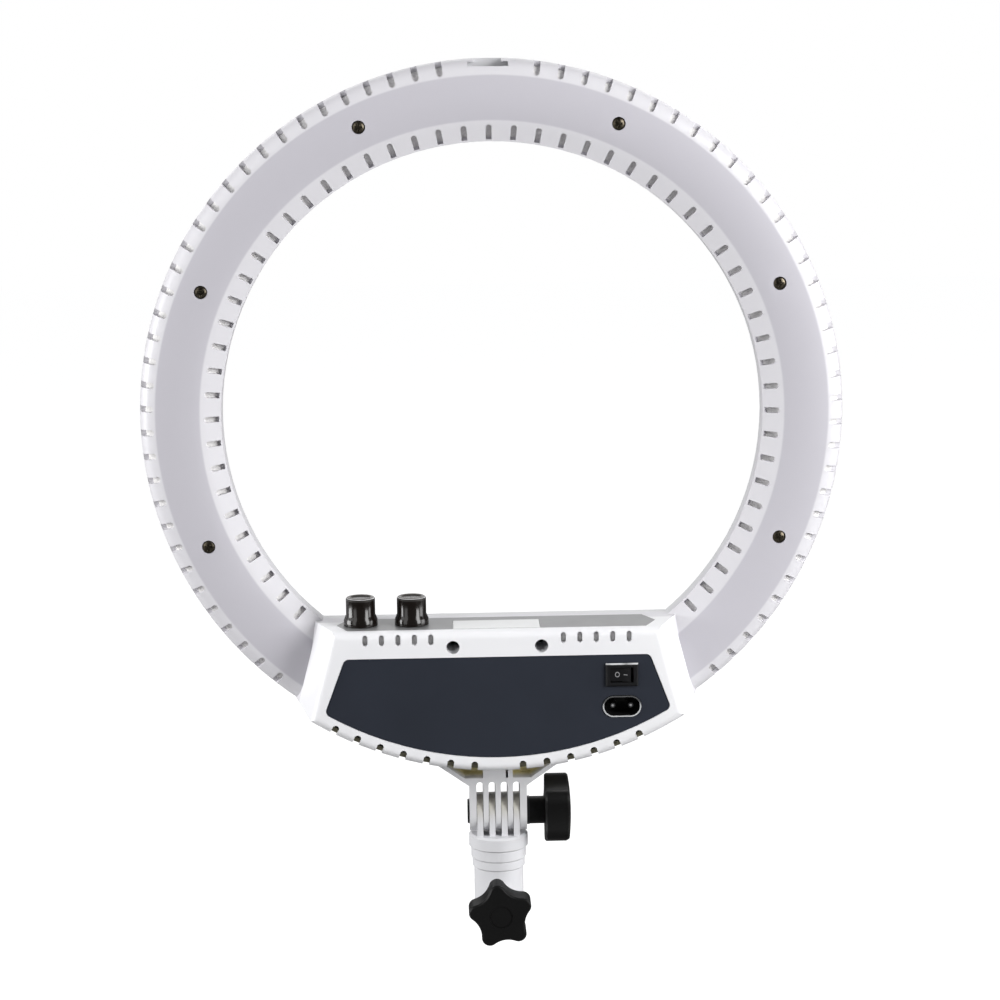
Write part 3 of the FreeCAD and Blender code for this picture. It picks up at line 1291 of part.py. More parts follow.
def make_stand_clamp():
    """The clamp's nut, pad, screw and star knob."""
    clamp = S.clamp_height
    nut = doc.addObject("PartDesign::Body", "clamp_nut")
    slab(nut, "hexagon", "XZ_Plane", -S.clamp_boss_end, S.nut_length - S.clamp_boss_end,
         polygon(0, 0, S.nut_radius - S.seat_gap, 6, 30), circles=[(0, 0, S.bolt_radius + S.thread_gap)])
    node("clamp_nut", nut, z=clamp)
    pad_back = -S.socket_bore - S.pad_thickness
    pad = doc.addObject("PartDesign::Body", "clamp_pad")
    slab(pad, "disc", "XZ_Plane", pad_back, -S.socket_bore, circles=[(0, 0, S.pad_radius)])
    node("clamp_pad", pad, z=clamp)
    start = -S.clamp_boss_end - S.clamp_travel_gap
    knob, face = make_knob("clamp_knob", "XZ_Plane", S.bolt_radius, start, -1, 90 + S.clamp_turn)
    node("clamp_knob", knob, z=clamp)
    screw = rod("clamp_screw", "Y", (0, start - S.knob_bore_depth, clamp), S.bolt_radius,
                pad_back - start + S.knob_bore_depth)
    node("clamp_screw", screw)
    node("clamp_knob_cap", make_knob_cap("clamp_knob_cap", "XZ_Plane", face, -1), z=clamp)


make_rear_cover()
make_front_housing()
make_diffuser()
make_led_board()
make_leds("warm_leds", 0)
make_leds("cool_leds", 180 / S.led_pairs)
make_rear_panel()
make_control_strip()
make_display()
make_switch()
make_inlet()
make_power_supply()
make_dimmers()
make_screws("case_screws", CASE_SCREWS, S.case_screw_depth - S.ring_back, S.case_screw_length)
make_screws("box_screws", BOX_SCREWS, S.box_well_depth - S.box_back, S.box_screw_length)
make_hinge_clamp()
make_stand_socket()
make_stand_clamp()

doc.recompute()
for item in doc.Objects:
    if "Invalid" in item.State or "Error" in item.State:
        raise RuntimeError(f"{item.Name} failed: {item.State}")

os.makedirs("parts", exist_ok=True)
for name, item in NODES.items():
    if item.Shape.isNull() or not item.Shape.isValid():
        raise RuntimeError(f"{name} has no valid shape")
    item.Shape.exportStep(f"parts/{name}.step")
    print(name, len(item.Shape.Solids), round(item.Shape.Volume / 1000, 2), "cm3")
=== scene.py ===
import math
import bpy
import numpy as np
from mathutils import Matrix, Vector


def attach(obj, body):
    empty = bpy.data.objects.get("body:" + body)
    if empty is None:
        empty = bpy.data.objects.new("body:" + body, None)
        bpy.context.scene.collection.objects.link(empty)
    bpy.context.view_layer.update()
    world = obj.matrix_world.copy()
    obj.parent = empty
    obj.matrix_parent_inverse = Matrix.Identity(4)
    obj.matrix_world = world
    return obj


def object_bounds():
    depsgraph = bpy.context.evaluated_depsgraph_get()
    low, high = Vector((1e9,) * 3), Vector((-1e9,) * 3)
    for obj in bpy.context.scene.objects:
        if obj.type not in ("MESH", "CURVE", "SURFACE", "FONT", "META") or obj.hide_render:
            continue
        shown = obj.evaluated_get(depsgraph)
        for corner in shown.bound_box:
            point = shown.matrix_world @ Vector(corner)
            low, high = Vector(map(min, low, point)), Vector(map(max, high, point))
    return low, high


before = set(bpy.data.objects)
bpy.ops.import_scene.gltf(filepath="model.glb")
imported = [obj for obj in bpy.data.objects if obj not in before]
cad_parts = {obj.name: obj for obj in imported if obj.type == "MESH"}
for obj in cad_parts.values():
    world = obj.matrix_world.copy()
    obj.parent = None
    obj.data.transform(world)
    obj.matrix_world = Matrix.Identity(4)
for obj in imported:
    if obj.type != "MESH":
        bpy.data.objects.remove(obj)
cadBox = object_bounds()
print("frame loaded:", len(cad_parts), "CAD nodes")

mm = 0.001
ringHeight = 250 * mm            # centre of the ring above the socket's mouth


# camera and lamps

cameraSetup = {
    "place": (-28.1 * mm, -1250 * mm, 411.6 * mm),
    "turn": (80.739, 0.780, -1.557),           # degrees
    "lens": 94.46,
    "sensor": 36,
    "clip": (0.05, 50),
}


def makeCamera(setup):
    data = bpy.data.cameras.new("camera")
    data.sensor_width = setup["sensor"]
    data.lens = setup["lens"]
    data.clip_start, data.clip_end = setup["clip"]
    camera = bpy.data.objects.new("camera", data)
    camera.location = setup["place"]
    camera.rotation_euler = [math.radians(angle) for angle in setup["turn"]]
    bpy.context.collection.objects.link(camera)
    bpy.context.scene.camera = camera


softboxSetup = {                               # place, aim, width and height in metres, and watts
    "leftSide": ((-1.5, -0.1, 0.35), (0.0, 0.0, 0.28), 0.8, 0.6, 18),
    "rightSide": ((1.5, -0.2, 0.35), (0.0, 0.0, 0.28), 0.8, 0.6, 9),
    "leftAbove": ((-1.3, -0.3, 1.0), (0.0, 0.0, 0.28), 0.8, 0.6, 3.5),
    "leftFront": ((-1.1, -1.1, 0.7), (0.0, 0.0, 0.2), 0.7, 1.2, 5.5),
    "rightFront": ((1.2, -1.05, 0.75), (0.0, 0.0, 0.2), 0.7, 1.2, 29),
    "behind": ((0.0, 1.3, 1.0), (0.0, 0.0, 0.2), 1.8, 1.2, 10.5),
    "overhead": ((0.0, -0.2, 1.6), (0.0, 0.0, 0.2), 1.2, 0.8, 0.4),
}


def makeSoftbox(name, place, aim, width, height, watts):
    data = bpy.data.lights.new(name, "AREA")
    data.shape = "RECTANGLE"
    data.size = width
    data.size_y = height
    data.energy = watts
    lamp = bpy.data.objects.new(name, data)
    direction = np.subtract(aim, place)
    lamp.location = place
    lamp.rotation_euler = [                    # its face, which looks down -Z, meets the aim
        math.acos(-direction[2] / np.linalg.norm(direction)), 0.0,
        math.atan2(direction[1], direction[0]) - math.pi / 2,
    ]
    bpy.context.collection.objects.link(lamp)


makeCamera(cameraSetup)
for name, values in softboxSetup.items():
    makeSoftbox(name, *values)
print("camera and", len(softboxSetup), "softboxes placed")


# shader maths

class Wire:                      # an output socket that works in sums
    def __init__(self, tree, socket):
        self.tree = tree
        self.socket = socket

    def calc(self, operation, *values):
        values = dict(enumerate(values))
        return addNode(self.tree, "ShaderNodeMath", {"operation": operation}, values)

    def __add__(self, other):
        return self.calc("ADD", self, other)

    def __radd__(self, other):
        return self.calc("ADD", other, self)

    def __sub__(self, other):
        return self.calc("SUBTRACT", self, other)

    def __rsub__(self, other):
        return self.calc("SUBTRACT", other, self)

    def __mul__(self, other):
        return self.calc("MULTIPLY", self, other)

    def __rmul__(self, other):
        return self.calc("MULTIPLY", other, self)

    def __pow__(self, other):
        return self.calc("POWER", self, other)

    def __gt__(self, other):
        return self.calc("GREATER_THAN", self, other)

    def __lt__(self, other):
        return self.calc("LESS_THAN", self, other)

    def __abs__(self):
        return self.calc("ABSOLUTE", self)

    def fade(self, low, high):   # 0 below low, 1 above high, smooth between
        smooth = {"interpolation_type": "SMOOTHSTEP"}
        values = {0: self, 1: low, 2: high, 3: 0.0, 4: 1.0}
        return addNode(self.tree, "ShaderNodeMapRange", smooth, values)


def plug(tree, entry, value):
    if isinstance(value, Wire):
        tree.links.new(value.socket, entry)
    else:
        entry.default_value = value


def addNode(tree, kind, settings=None, values=None, output=0):
    made = tree.nodes.new(kind)
    for name, value in (settings or {}).items():
        setattr(made, name, value)
    for entry, value in (values or {}).items():
        plug(tree, made.inputs[entry], value)
    return Wire(tree, made.outputs[output])


class Finish:                    # a material and the nodes that make it
    def __init__(self, name, colour, roughness, **fixed):
        self.material = bpy.data.materials.new(name)
        self.material.use_nodes = True
        self.tree = self.material.node_tree
        self.shader = self.tree.nodes["Principled BSDF"]
        self.shader.inputs["Base Color"].default_value = (*colour, 1.0)
        self.shader.inputs["Roughness"].default_value = roughness
        for entry, value in fixed.items():
            self.shader.inputs[entry.replace("_", " ")].default_value = value
        self.material.diffuse_color = (*colour, 1.0)
        self.place = self.node("ShaderNodeTexCoord", output="Object")

    def node(self, kind, settings=None, values=None, output=0):
        return addNode(self.tree, kind, settings, values, output)

    def axis(self, letter):
        return self.node("ShaderNodeSeparateXYZ", values={0: self.place}, output=letter)

    def noise(self, scale, detail=3.0):
        values = {"Vector": self.place, "Scale": scale, "Detail": detail, "Roughness": 0.55}
        return self.node("ShaderNodeTexNoise", values=values)

    def blend(self, factor, one, other):         # sockets 6, 7 and 2 of a Mix node are its colours
        tones = {6: one, 7: other}
        for entry, tone in tones.items():
            if isinstance(tone, tuple):
                tones[entry] = (*tone, 1.0)
        return self.node("ShaderNodeMix", {"data_type": "RGBA"}, {0: factor, **tones}, output=2)

    def feed(self, entry, value):
        plug(self.tree, self.shader.inputs[entry], value)

    def bump(self, height, strength, distance):
        values = {"Height": height, "Strength": strength, "Distance": distance}
        self.feed("Normal", self.node("ShaderNodeBump", values=values, output="Normal"))


# finishes

def mouldedWhite(name, look):
    finish = Finish(name, look["colour"], look["roughness"], Specular_IOR_Level=0.45)
    cloud = finish.noise(look["cloudScale"], 4.0)
    tone = finish.blend(cloud.fade(0.35, 0.7), look["colour"], look["shade"])
    spread = look["glossSpread"]
    finish.feed("Roughness", cloud * spread + (look["roughness"] - spread * 0.5))
    finish.bump(finish.noise(look["grainScale"], 2.0), look["grainStrength"], look["grainHeight"])
    return finish, tone


def ringDistance(finish):        # distance from the ring's axis
    x = finish.axis("X")
    z = finish.axis("Z") - ringHeight
    return (x * x + z * z) ** 0.5


mouldedLook = {
    "cloudScale": 22.0,
    "roughness": 0.38,
    "glossSpread": 0.08,
    "grainScale": 1500.0,
    "grainStrength": 0.16,
    "grainHeight": 0.06 * mm,
}
coverLook = {
    **mouldedLook,
    "colour": (0.84, 0.84, 0.855),
    "shade": (0.82, 0.82, 0.84),
    "shadedFaceColour": (0.535, 0.522, 0.565),       # painted shade: the ring's flat face is darker than the box's same white
    # painted shade on the ring's slopes, lighter than on its face
    "shadedSlopeColour": (0.69, 0.68, 0.71),
    "ringStarts": (-10.3 * mm, -10.1 * mm),    # y where the box ends and the ring begins
    "faceRadii": (139.5 * mm, 160.5 * mm),
    "faceFade": 0.6 * mm,
}
housingLook = {
    **mouldedLook,
    # painted shade: the same white plastic as the cover's box, made darker
    "colour": (0.69, 0.69, 0.705),
    "shade": (0.66, 0.66, 0.675),
    "cloudScale": 30.0,
    "roughness": 0.36,
    "grainStrength": 0.12,
    "inside": (0.62, 0.61, 0.60),              # painted shade: the channel behind the vents is a little darker
    "insideDepth": (1.1 * mm, 1.3 * mm),       # y, then radii, where the channel fades out
    "insideRadii": (131.5 * mm, 132.2 * mm, 165.6 * mm, 166.0 * mm),
    "pocket": (0.86, 0.79, 0.48),              # painted warm shade deep in the bracket's pockets
    "pocketDepth": (-7.0 * mm, 2.5 * mm, 3.6 * mm, 3.8 * mm),
    "pocketHeight": (71 * mm, 72 * mm, 81.5 * mm, 82 * mm),
    "pocketRadii": (168.3 * mm, 168.5 * mm),
}
socketLook = {
    **mouldedLook,
    # painted shade: the same white plastic as the cover's box, made darker
    "colour": (0.66, 0.66, 0.68),
    "shade": (0.63, 0.63, 0.65),
    "fingers": (0.50, 0.47, 0.36),             # painted yellowish shade where the head's fingers run
    "fingersFrom": (48 * mm, 60 * mm),
    "fingersMost": 0.7,
    "patchScale": 160.0,
}


def socketFinish(look):
    finish, tone = mouldedWhite("socketWhite", look)
    patches = finish.noise(look["patchScale"]).fade(0.1, 0.5)
    # painted shade: the socket's top among the head's fingers is tinted darker and yellowish in
    # patches
    paintedLightMask = finish.axis("Z").fade(*look["fingersFrom"]) * patches * look["fingersMost"]
    finish.feed("Base Color", finish.blend(paintedLightMask, tone, look["fingers"]))
    return finish.material


def within(wire, low, start, end, high):         # rises from low to start, falls from end to high
    return wire.fade(low, start) * (1.0 - wire.fade(end, high))


def coverFinish(look):
    finish, tone = mouldedWhite("coverWhite", look)
    # painted shade: the ring behind the box is darker than the box, its flat face darkest
    onRing = finish.axis("Y").fade(*look["ringStarts"])
    soft = look["faceFade"]
    edges = [radius + step for radius in look["faceRadii"] for step in (-soft, soft)]
    onFace = within(ringDistance(finish), *edges)
    ring = finish.blend(onFace, look["shadedSlopeColour"], look["shadedFaceColour"])
    finish.feed("Base Color", finish.blend(onRing, tone, ring))
    return finish.material


def housingFinish(look):
    finish, tone = mouldedWhite("housingWhite", look)
    distance = ringDistance(finish)
    y = finish.axis("Y")
    # painted shade in the channel behind the vents
    inside = (1.0 - y.fade(*look["insideDepth"])) * within(distance, *look["insideRadii"])
    tone = finish.blend(inside, tone, look["inside"])
    # painted shade: the bracket's pockets are tinted olive-yellow
    pocket = within(y, *look["pocketDepth"]) * within(finish.axis("Z"), *look["pocketHeight"])
    pocket = pocket * distance.fade(*look["pocketRadii"])
    finish.feed("Base Color", finish.blend(pocket, tone, look["pocket"]))
    return finish.material


def plainFinish(name, look):     # one tone with grain and a spread of gloss
    finish = Finish(name, look["colour"], look["roughness"], **look.get("fixed", {}))
    cloud = finish.noise(look.get("cloudScale", 60.0))
    darker = tuple(part * look.get("shade", 0.85) for part in look["colour"])
    finish.feed("Base Color", finish.blend(cloud.fade(0.3, 0.75), look["colour"], darker))
    spread = look.get("glossSpread", 0.08)
    finish.feed("Roughness", cloud * spread + (look["roughness"] - spread * 0.5))
    if look.get("grainStrength"):
        grain = finish.noise(look["grainScale"], 2.0)
        finish.bump(grain, look["grainStrength"], look["grainHeight"])
    return finish.material


plainLooks = {
    # a dark olive sheet of painted shade behind the rim's slots
    "ventShade": {"colour": (0.24, 0.225, 0.155), "roughness": 0.8, "shade": 0.7,
                  "cloudScale": 90.0},
    "opalLens": {"colour": (0.86, 0.86, 0.85), "roughness": 0.5, "shade": 0.97},
    "boardWhite": {"colour": (0.72, 0.73, 0.71), "roughness": 0.45},
    "ventFleece": {"colour": (0.78, 0.77, 0.76), "roughness": 0.9, "shade": 0.8,
                   "cloudScale": 900.0,
                   "grainScale": 2600.0, "grainStrength": 0.3, "grainHeight": 0.1 * mm},
    "warmPhosphor": {"colour": (0.83, 0.58, 0.16), "roughness": 0.4},
    "coolPhosphor": {"colour": (0.86, 0.80, 0.36), "roughness": 0.4},
    "slateFilm": {"colour": (0.023, 0.027, 0.038), "roughness": 0.42, "shade": 0.86,
                  "cloudScale": 18.0,
                  "grainScale": 2500.0, "grainStrength": 0.05, "grainHeight": 0.03 * mm,
                  "fixed": {"Specular_IOR_Level": 0.22}},
    "greyFilm": {"colour": (0.235, 0.235, 0.24), "roughness": 0.4, "shade": 0.93,
                 "grainScale": 2500.0, "grainStrength": 0.05, "grainHeight": 0.03 * mm},
    "clearWindow": {"colour": (0.82, 0.83, 0.83), "roughness": 0.16, "shade": 0.96},
    "paleDisplay": {"colour": (0.62, 0.66, 0.62), "roughness": 0.3},
    "blackKnob": {"colour": (0.006, 0.006, 0.006), "roughness": 0.46, "glossSpread": 0.14,
                  "cloudScale": 90.0,
                  "grainScale": 1300.0, "grainStrength": 0.3, "grainHeight": 0.08 * mm,
                  "fixed": {"Specular_IOR_Level": 0.12}},
    "dialBlack": {"colour": (0.007, 0.005, 0.004), "roughness": 0.16, "glossSpread": 0.05,
                  "fixed": {"Specular_IOR_Level": 0.42}},
    "greenBoard": {"colour": (0.03, 0.13, 0.06), "roughness": 0.4},
    "plainSteel": {"colour": (0.56, 0.57, 0.58), "roughness": 0.32, "fixed": {"Metallic": 1.0}},
    "screwMetal": {"colour": (0.11, 0.095, 0.07), "roughness": 0.3, "shade": 0.35,
                   "cloudScale": 520.0, "fixed": {"Metallic": 1.0}},
    "blackOxide": {"colour": (0.02, 0.02, 0.022), "roughness": 0.38, "fixed": {"Metallic": 0.6}},
    "turnedBrass": {"colour": (0.62, 0.44, 0.18), "roughness": 0.3, "fixed": {"Metallic": 1.0}},
    "padRubber": {"colour": (0.02, 0.02, 0.02), "roughness": 0.7},
}


capLook = {
    "rim": (0.90, 0.90, 0.91),
    "face": (0.10, 0.09, 0.083),
    "faceRadius": 6.6 * mm,
    "skirt": (0.05, 0.047, 0.045),             # the cap's side below its bright edge
    "skirtTop": 164.55 * mm,
    "softEdge": 0.1 * mm,
    "ringPitch": 0.28 * mm,
    "ringStrength": 0.12,
    "ringHeight": 0.02 * mm,
    "ringGloss": 0.04,
    "roughness": 0.26,
    "axes": (-64.8 * mm, -40.4 * mm, -18 * mm),  # x of the left and the right dial, and y of both
}
switchLook = {
    "colour": (0.009, 0.009, 0.010),
    # painted highlight on the bezel's upper edge, and painted reflection on the inlet's rim
    "edge": (0.62, 0.63, 0.64),
    "highlightHeight": (4.9 * mm, 5.2 * mm),        # above the axle
    "highlightDepth": (-35.2 * mm, -34.9 * mm),     # y
    "mark": (0.45, 0.45, 0.46),
    "markMost": 0.8,
    "ringPlace": -1.7 * mm,                    # the two marks along the rocker, from its axle
    "ringRadius": 0.95 * mm,
    "ringSquash": 0.72,
    "barPlace": 2.3 * mm,
    "barHalf": (0.9 * mm, 1.0 * mm),
    "lineHalf": (0.12 * mm, 0.2 * mm),
    "markDepth": (-34.4 * mm, -34.2 * mm),
    "rimDepth": (-35.15 * mm, -35.05 * mm),    # the inlet's rim, where a bright reflection is painted
    "rimHeight": (112.5 * mm, 115.5 * mm),
    "rimReflectionStrength": (0.8, 0.12),                    # how strong the painted reflection is below and above these heights
    "pin": (0.10, 0.10, 0.105),
    # painted highlight on the middle of each pin's end
    "pinHighlight": (0.85, 0.85, 0.86),
    "pinPlace": (4.3 * mm, 112.9 * mm),        # aside from the inlet's middle, and height
    "pinHighlightRadii": (0.4 * mm, 0.75 * mm),
    "pinRoughness": 0.3,
    "pinPatches": 300.0,
    "cloudScale": 140.0,
    "roughness": 0.34,
    "glossSpread": 0.1,
}
switchPlace = (59 * mm, -33 * mm, 128.4 * mm)  # the rocker's axle
rockerLean = math.radians(12)


def capFinish(look):             # turned metal: fine rings about the dial's own axis
    finish = Finish("turnedMetal", look["rim"], look["roughness"], Metallic=0.4)
    left, right, depth = look["axes"]
    x = finish.axis("X")
    onLeft = x < (left + right) / 2
    fromAxis = x - right + onLeft * (right - left)
    y = finish.axis("Y") - depth
    radius = (fromAxis * fromAxis + y * y) ** 0.5
    turns = radius * (2 * math.pi / look["ringPitch"])
    rings = turns.calc("SINE", turns)
    finish.bump(rings, look["ringStrength"], look["ringHeight"])
    finish.feed("Roughness", rings * look["ringGloss"] + look["roughness"])
    soft = look["softEdge"]
    edge = radius.fade(look["faceRadius"] - soft, look["faceRadius"])
    tone = finish.blend(edge, look["face"], look["rim"])
    bright = finish.axis("Z").fade(look["skirtTop"] - soft, look["skirtTop"] + soft)
    finish.feed("Base Color", finish.blend(bright, look["skirt"], tone))
    return finish.material


def shinyBlack(name, look, specular):            # black plastic with a cloudy gloss
    finish = Finish(name, look["colour"], look["roughness"], Specular_IOR_Level=specular)
    cloud = finish.noise(look["cloudScale"])
    spread = look["glossSpread"]
    finish.feed("Roughness", cloud * spread + look["roughness"] - spread * 0.5)
    return finish, cloud


def switchFinish(look):          # black bezel with a painted highlight along its upper edge
    finish, cloud = shinyBlack("switchBlack", look, 0.2)
    above = (finish.axis("Z") - switchPlace[2]).fade(*look["highlightHeight"])
    proud = 1.0 - finish.axis("Y").fade(*look["highlightDepth"])
    edge = above * proud * cloud.fade(0.2, 0.5)
    finish.feed("Base Color", finish.blend(edge, look["colour"], look["edge"]))
    return finish.material


def rockerFinish(look):          # prints "O" and a bar, in the leaning rocker's own axes
    finish = shinyBlack("rockerBlack", look, 0.2)[0]
    across = finish.axis("X") - switchPlace[0]
    outward = finish.axis("Y") - switchPlace[1]
    along = across * math.cos(rockerLean) - outward * math.sin(rockerLean)
    up = finish.axis("Z") - switchPlace[2]
    aside = along - look["ringPlace"]
    fromRing = (aside * aside + up * up * look["ringSquash"]) ** 0.5
    ring = 1.0 - abs(fromRing - look["ringRadius"]).fade(*look["lineHalf"])
    bar = 1.0 - abs(along - look["barPlace"]).fade(*look["barHalf"])
    bar = bar * (1.0 - abs(up).fade(*look["lineHalf"]))
    front = 1.0 - finish.axis("Y").fade(*look["markDepth"])
    marks = (ring + bar) * front * look["markMost"]
    finish.feed("Base Color", finish.blend(marks, look["colour"], look["mark"]))
    return finish.material


def inletFinish(look):           # black socket with a painted bright reflection on its rim
    finish = shinyBlack("inletBlack", look, 0.25)[0]
    rim = 1.0 - finish.axis("Y").fade(*look["rimDepth"])
    lower, upper = look["rimReflectionStrength"]
    reflectionStrength = lower - finish.axis("Z").fade(*look["rimHeight"]) * (lower - upper)
    finish.feed("Base Color", finish.blend(rim * reflectionStrength, look["colour"], look["edge"]))
    return finish.material


def pinFinish(look):             # dull pins with a painted highlight in the middle of their ends
    finish = Finish("pinSteel", look["pin"], look["pinRoughness"], Metallic=1.0)
    aside = abs(finish.axis("X") - switchPlace[0]) - look["pinPlace"][0]
    up = finish.axis("Z") - look["pinPlace"][1]
    fromAxis = (aside * aside + up * up) ** 0.5
    patches = finish.noise(look["pinPatches"]).fade(0.1, 0.4)
    paintedLightMask = (1.0 - fromAxis.fade(*look["pinHighlightRadii"])) * patches
    finish.feed("Base Color", finish.blend(paintedLightMask, look["pin"], look["pinHighlight"]))
    return finish.material


finishes = {name: plainFinish(name, look) for name, look in plainLooks.items()}
finishes["coverWhite"] = coverFinish(coverLook)
finishes["socketWhite"] = socketFinish(socketLook)
finishes["housingWhite"] = housingFinish(housingLook)
finishes["turnedMetal"] = capFinish(capLook)
finishes["switchBlack"] = switchFinish(switchLook)
finishes["rockerBlack"] = rockerFinish(switchLook)
finishes["inletBlack"] = inletFinish(switchLook)
finishes["pinSteel"] = pinFinish(switchLook)
print("finishes made:", len(finishes))

wear = {
    "coverWhite": ["rear_cover"],
    "socketWhite": ["stand_socket"],
    "housingWhite": ["front_housing"],
    "opalLens": ["diffuser"],
    "boardWhite": ["led_board"],
    "warmPhosphor": ["warm_leds"],
    "coolPhosphor": ["cool_leds"],
    "slateFilm": ["rear_panel"],
    "greyFilm": ["control_strip"],
    "clearWindow": ["lcd_window"],
    "paleDisplay": ["lcd_module"],
    "switchBlack": ["switch_body"],
    "rockerBlack": ["power_rocker"],
    "inletBlack": ["ac_inlet"],
    "blackKnob": ["tilt_knob", "tilt_knob_cap", "clamp_knob", "clamp_knob_cap"],
    "dialBlack": ["left_dial", "right_dial"],
    "turnedMetal": ["left_dial_cap", "right_dial_cap"],
    "greenBoard": ["power_supply_board", "control_board"],
    "pinSteel": ["inlet_pins"],
    "plainSteel": ["left_pot", "right_pot", "left_dial_shaft", "right_dial_shaft",
                   "clamp_screw"],
    "blackOxide": ["case_screws", "box_screws", "hinge_bolt", "tilt_washer"],
    "turnedBrass": ["tilt_knob_insert", "clamp_nut"],
    "padRubber": ["clamp_pad"],
}
smoothing = {"weldDistance": 0.002 * mm, "sharpAngle": math.radians(32)}


def makeSmoother(setup):         # joins loose triangles, and shades smooth up to the sharp angle
    tree = bpy.data.node_groups.new("smoothCurves", "GeometryNodeTree")
    tree.interface.new_socket("Geometry", in_out="INPUT", socket_type="NodeSocketGeometry")
    tree.interface.new_socket("Geometry", in_out="OUTPUT", socket_type="NodeSocketGeometry")
    source = tree.nodes.new("NodeGroupInput")
    weld = tree.nodes.new("GeometryNodeMergeByDistance")
    weld.inputs["Distance"].default_value = setup["weldDistance"]
    faces = tree.nodes.new("GeometryNodeSetShadeSmooth")
    angle = tree.nodes.new("GeometryNodeInputMeshEdgeAngle")
    sharp = tree.nodes.new("FunctionNodeCompare")
    sharp.operation = "GREATER_THAN"
    sharp.inputs[1].default_value = setup["sharpAngle"]
    edges = tree.nodes.new("GeometryNodeSetShadeSmooth")
    edges.domain = "EDGE"
    edges.inputs["Shade Smooth"].default_value = False
    result = tree.nodes.new("NodeGroupOutput")
    tree.links.new(source.outputs[0], weld.inputs["Geometry"])
    tree.links.new(weld.outputs[0], faces.inputs[0])
    tree.links.new(faces.outputs[0], edges.inputs[0])
    tree.links.new(angle.outputs["Unsigned Angle"], sharp.inputs[0])
    tree.links.new(sharp.outputs[0], edges.inputs["Selection"])
    tree.links.new(edges.outputs[0], result.inputs[0])
    return tree


smoother = makeSmoother(smoothing)
for finishName, nodeNames in wear.items():
    for nodeName in nodeNames:
        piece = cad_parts[nodeName]
        piece.data.materials.clear()
        piece.data.materials.append(finishes[finishName])
        piece.modifiers.new("smoothCurves", "NODES").node_group = smoother
print("CAD nodes dressed")


# pieces that only the scene has

def addPiece(name, points, faces, body, finishName):
    mesh = bpy.data.meshes.new(name)
    mesh.from_pydata(points, [], faces)
    mesh.materials.append(finishes[finishName])
    mesh.shade_smooth()
    piece = bpy.data.objects.new(name, mesh)
    bpy.context.collection.objects.link(piece)
    piece.modifiers.new("smoothCurves", "NODES").node_group = smoother
    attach(piece, body)


def closedGrid(rows, count, start=0):            # corner numbers of rounds, and those beside them
    here = start + np.arange(rows * count).reshape(rows, count)
    return here, np.roll(here, -1, axis=1)


def sweepRound(profile, turns):  # a closed profile of (radius, y) turned about the ring's axis
    # x = r sin t, z = ringHeight + r cos t, with t from the top and positive to the right
    turns = np.radians(turns)
    radius, depth = np.array(profile).T
    points = np.stack([
        np.outer(np.sin(turns), radius),
        np.tile(depth, (len(turns), 1)),
        ringHeight + np.outer(np.cos(turns), radius),
    ], axis=-1).reshape(-1, 3)
    count = len(profile)
    last = (len(turns) - 1) * count
    here, beside = closedGrid(len(turns) - 1, count)
    walls = np.stack([here, beside, beside + count, here + count], axis=-1).reshape(-1, 4)
    ends = [range(count - 1, -1, -1), range(last, last + count)]
    return points, [tuple(face) for face in (*walls.tolist(), *ends)]


def joined(parts):               # several (points, faces) as one
    faces, start = [], 0
    for points, sides in parts:
        faces.extend(tuple(corner + start for corner in side) for side in sides)
        start += len(points)
    return np.concatenate([points for points, sides in parts]), faces


def brick(low, high):            # a closed box between two corners
    across, deep, tall = zip(low, high)
    corners = [(x, y, z) for x in across for y in deep for z in tall]
    sides = [(0, 1, 3, 2), (4, 6, 7, 5), (0, 4, 5, 1), (2, 3, 7, 6), (0, 2, 6, 4), (1, 5, 7, 3)]
    return corners, sides


fleeceSetup = {
    "thickness": 0.4 * mm,
    "roundingCentre": (159.9 * mm, -1.5 * mm),  # radius and y of the rear rounding's middle
    "roundingRadius": 5.9 * mm,                 # just inside the cover's wall
    "roundingBends": (-20, 90, 15),             # degrees from the rounding's front end, and steps
    "roundingTurns": (5.0, 143.0, 92),          # degrees from the top, on each side, and steps
    "slopeStart": (131.9 * mm, -2.35 * mm),     # the slope's inner face, from the opening
    "slopeEnd": (139.5 * mm, -5.4 * mm),
    "slopeTurns": (-138.5, 138.5, 139),
    "bandSpans": ((-66.5 * mm, -29.0 * mm), (29.0 * mm, 66.5 * mm)),
    "bandHeight": (143.6 * mm, 148.3 * mm),
    "bandFace": -31.7 * mm,
}


def ventFleece(setup):           # the pale sheet that lies behind the vent slots
    middle, level = setup["roundingCentre"]
    bends = np.radians(np.linspace(*setup["roundingBends"]))
    thick = setup["thickness"]
    arcs = []
    for radius in (setup["roundingRadius"], setup["roundingRadius"] - thick):
        arcs.append(list(zip(middle + radius * np.cos(bends), level - radius * np.sin(bends))))
    rounding = arcs[0] + arcs[1][::-1]
    start, end = setup["slopeStart"], setup["slopeEnd"]
    slope = [start, end, (end[0], end[1] + thick), (start[0], start[1] + thick)]
    turns = np.linspace(*setup["roundingTurns"])
    face = setup["bandFace"]
    low, high = setup["bandHeight"]
    spans = setup["bandSpans"]
    return joined([
        sweepRound(rounding, turns),
        sweepRound(rounding, -turns[::-1]),
        sweepRound(slope[::-1], np.linspace(*setup["slopeTurns"])),
        *(brick((left, face, low), (right, face + thick, high)) for left, right in spans),
    ])


points, faces = ventFleece(fleeceSetup)
addPiece("vent_fleece", points, faces, "head", "ventFleece")


rimShadeSetup = {                # a dark sheet of painted shade behind the slots of the box's lower rim
    "radii": (165.2 * mm, 167.3 * mm),
    "depth": (-30.6 * mm, -24.1 * mm),          # y
    "turns": (149.5, 209.5, 61),                # degrees from the top, and steps
}


def rimShade(setup):
    near, far = setup["radii"]
    rear, front = setup["depth"]
    profile = [(near, rear), (near, front), (far, front), (far, rear)]
    return sweepRound(profile, np.linspace(*setup["turns"]))


points, faces = rimShade(rimShadeSetup)
addPiece("rim_vent_shade", points, faces, "head", "ventShade")


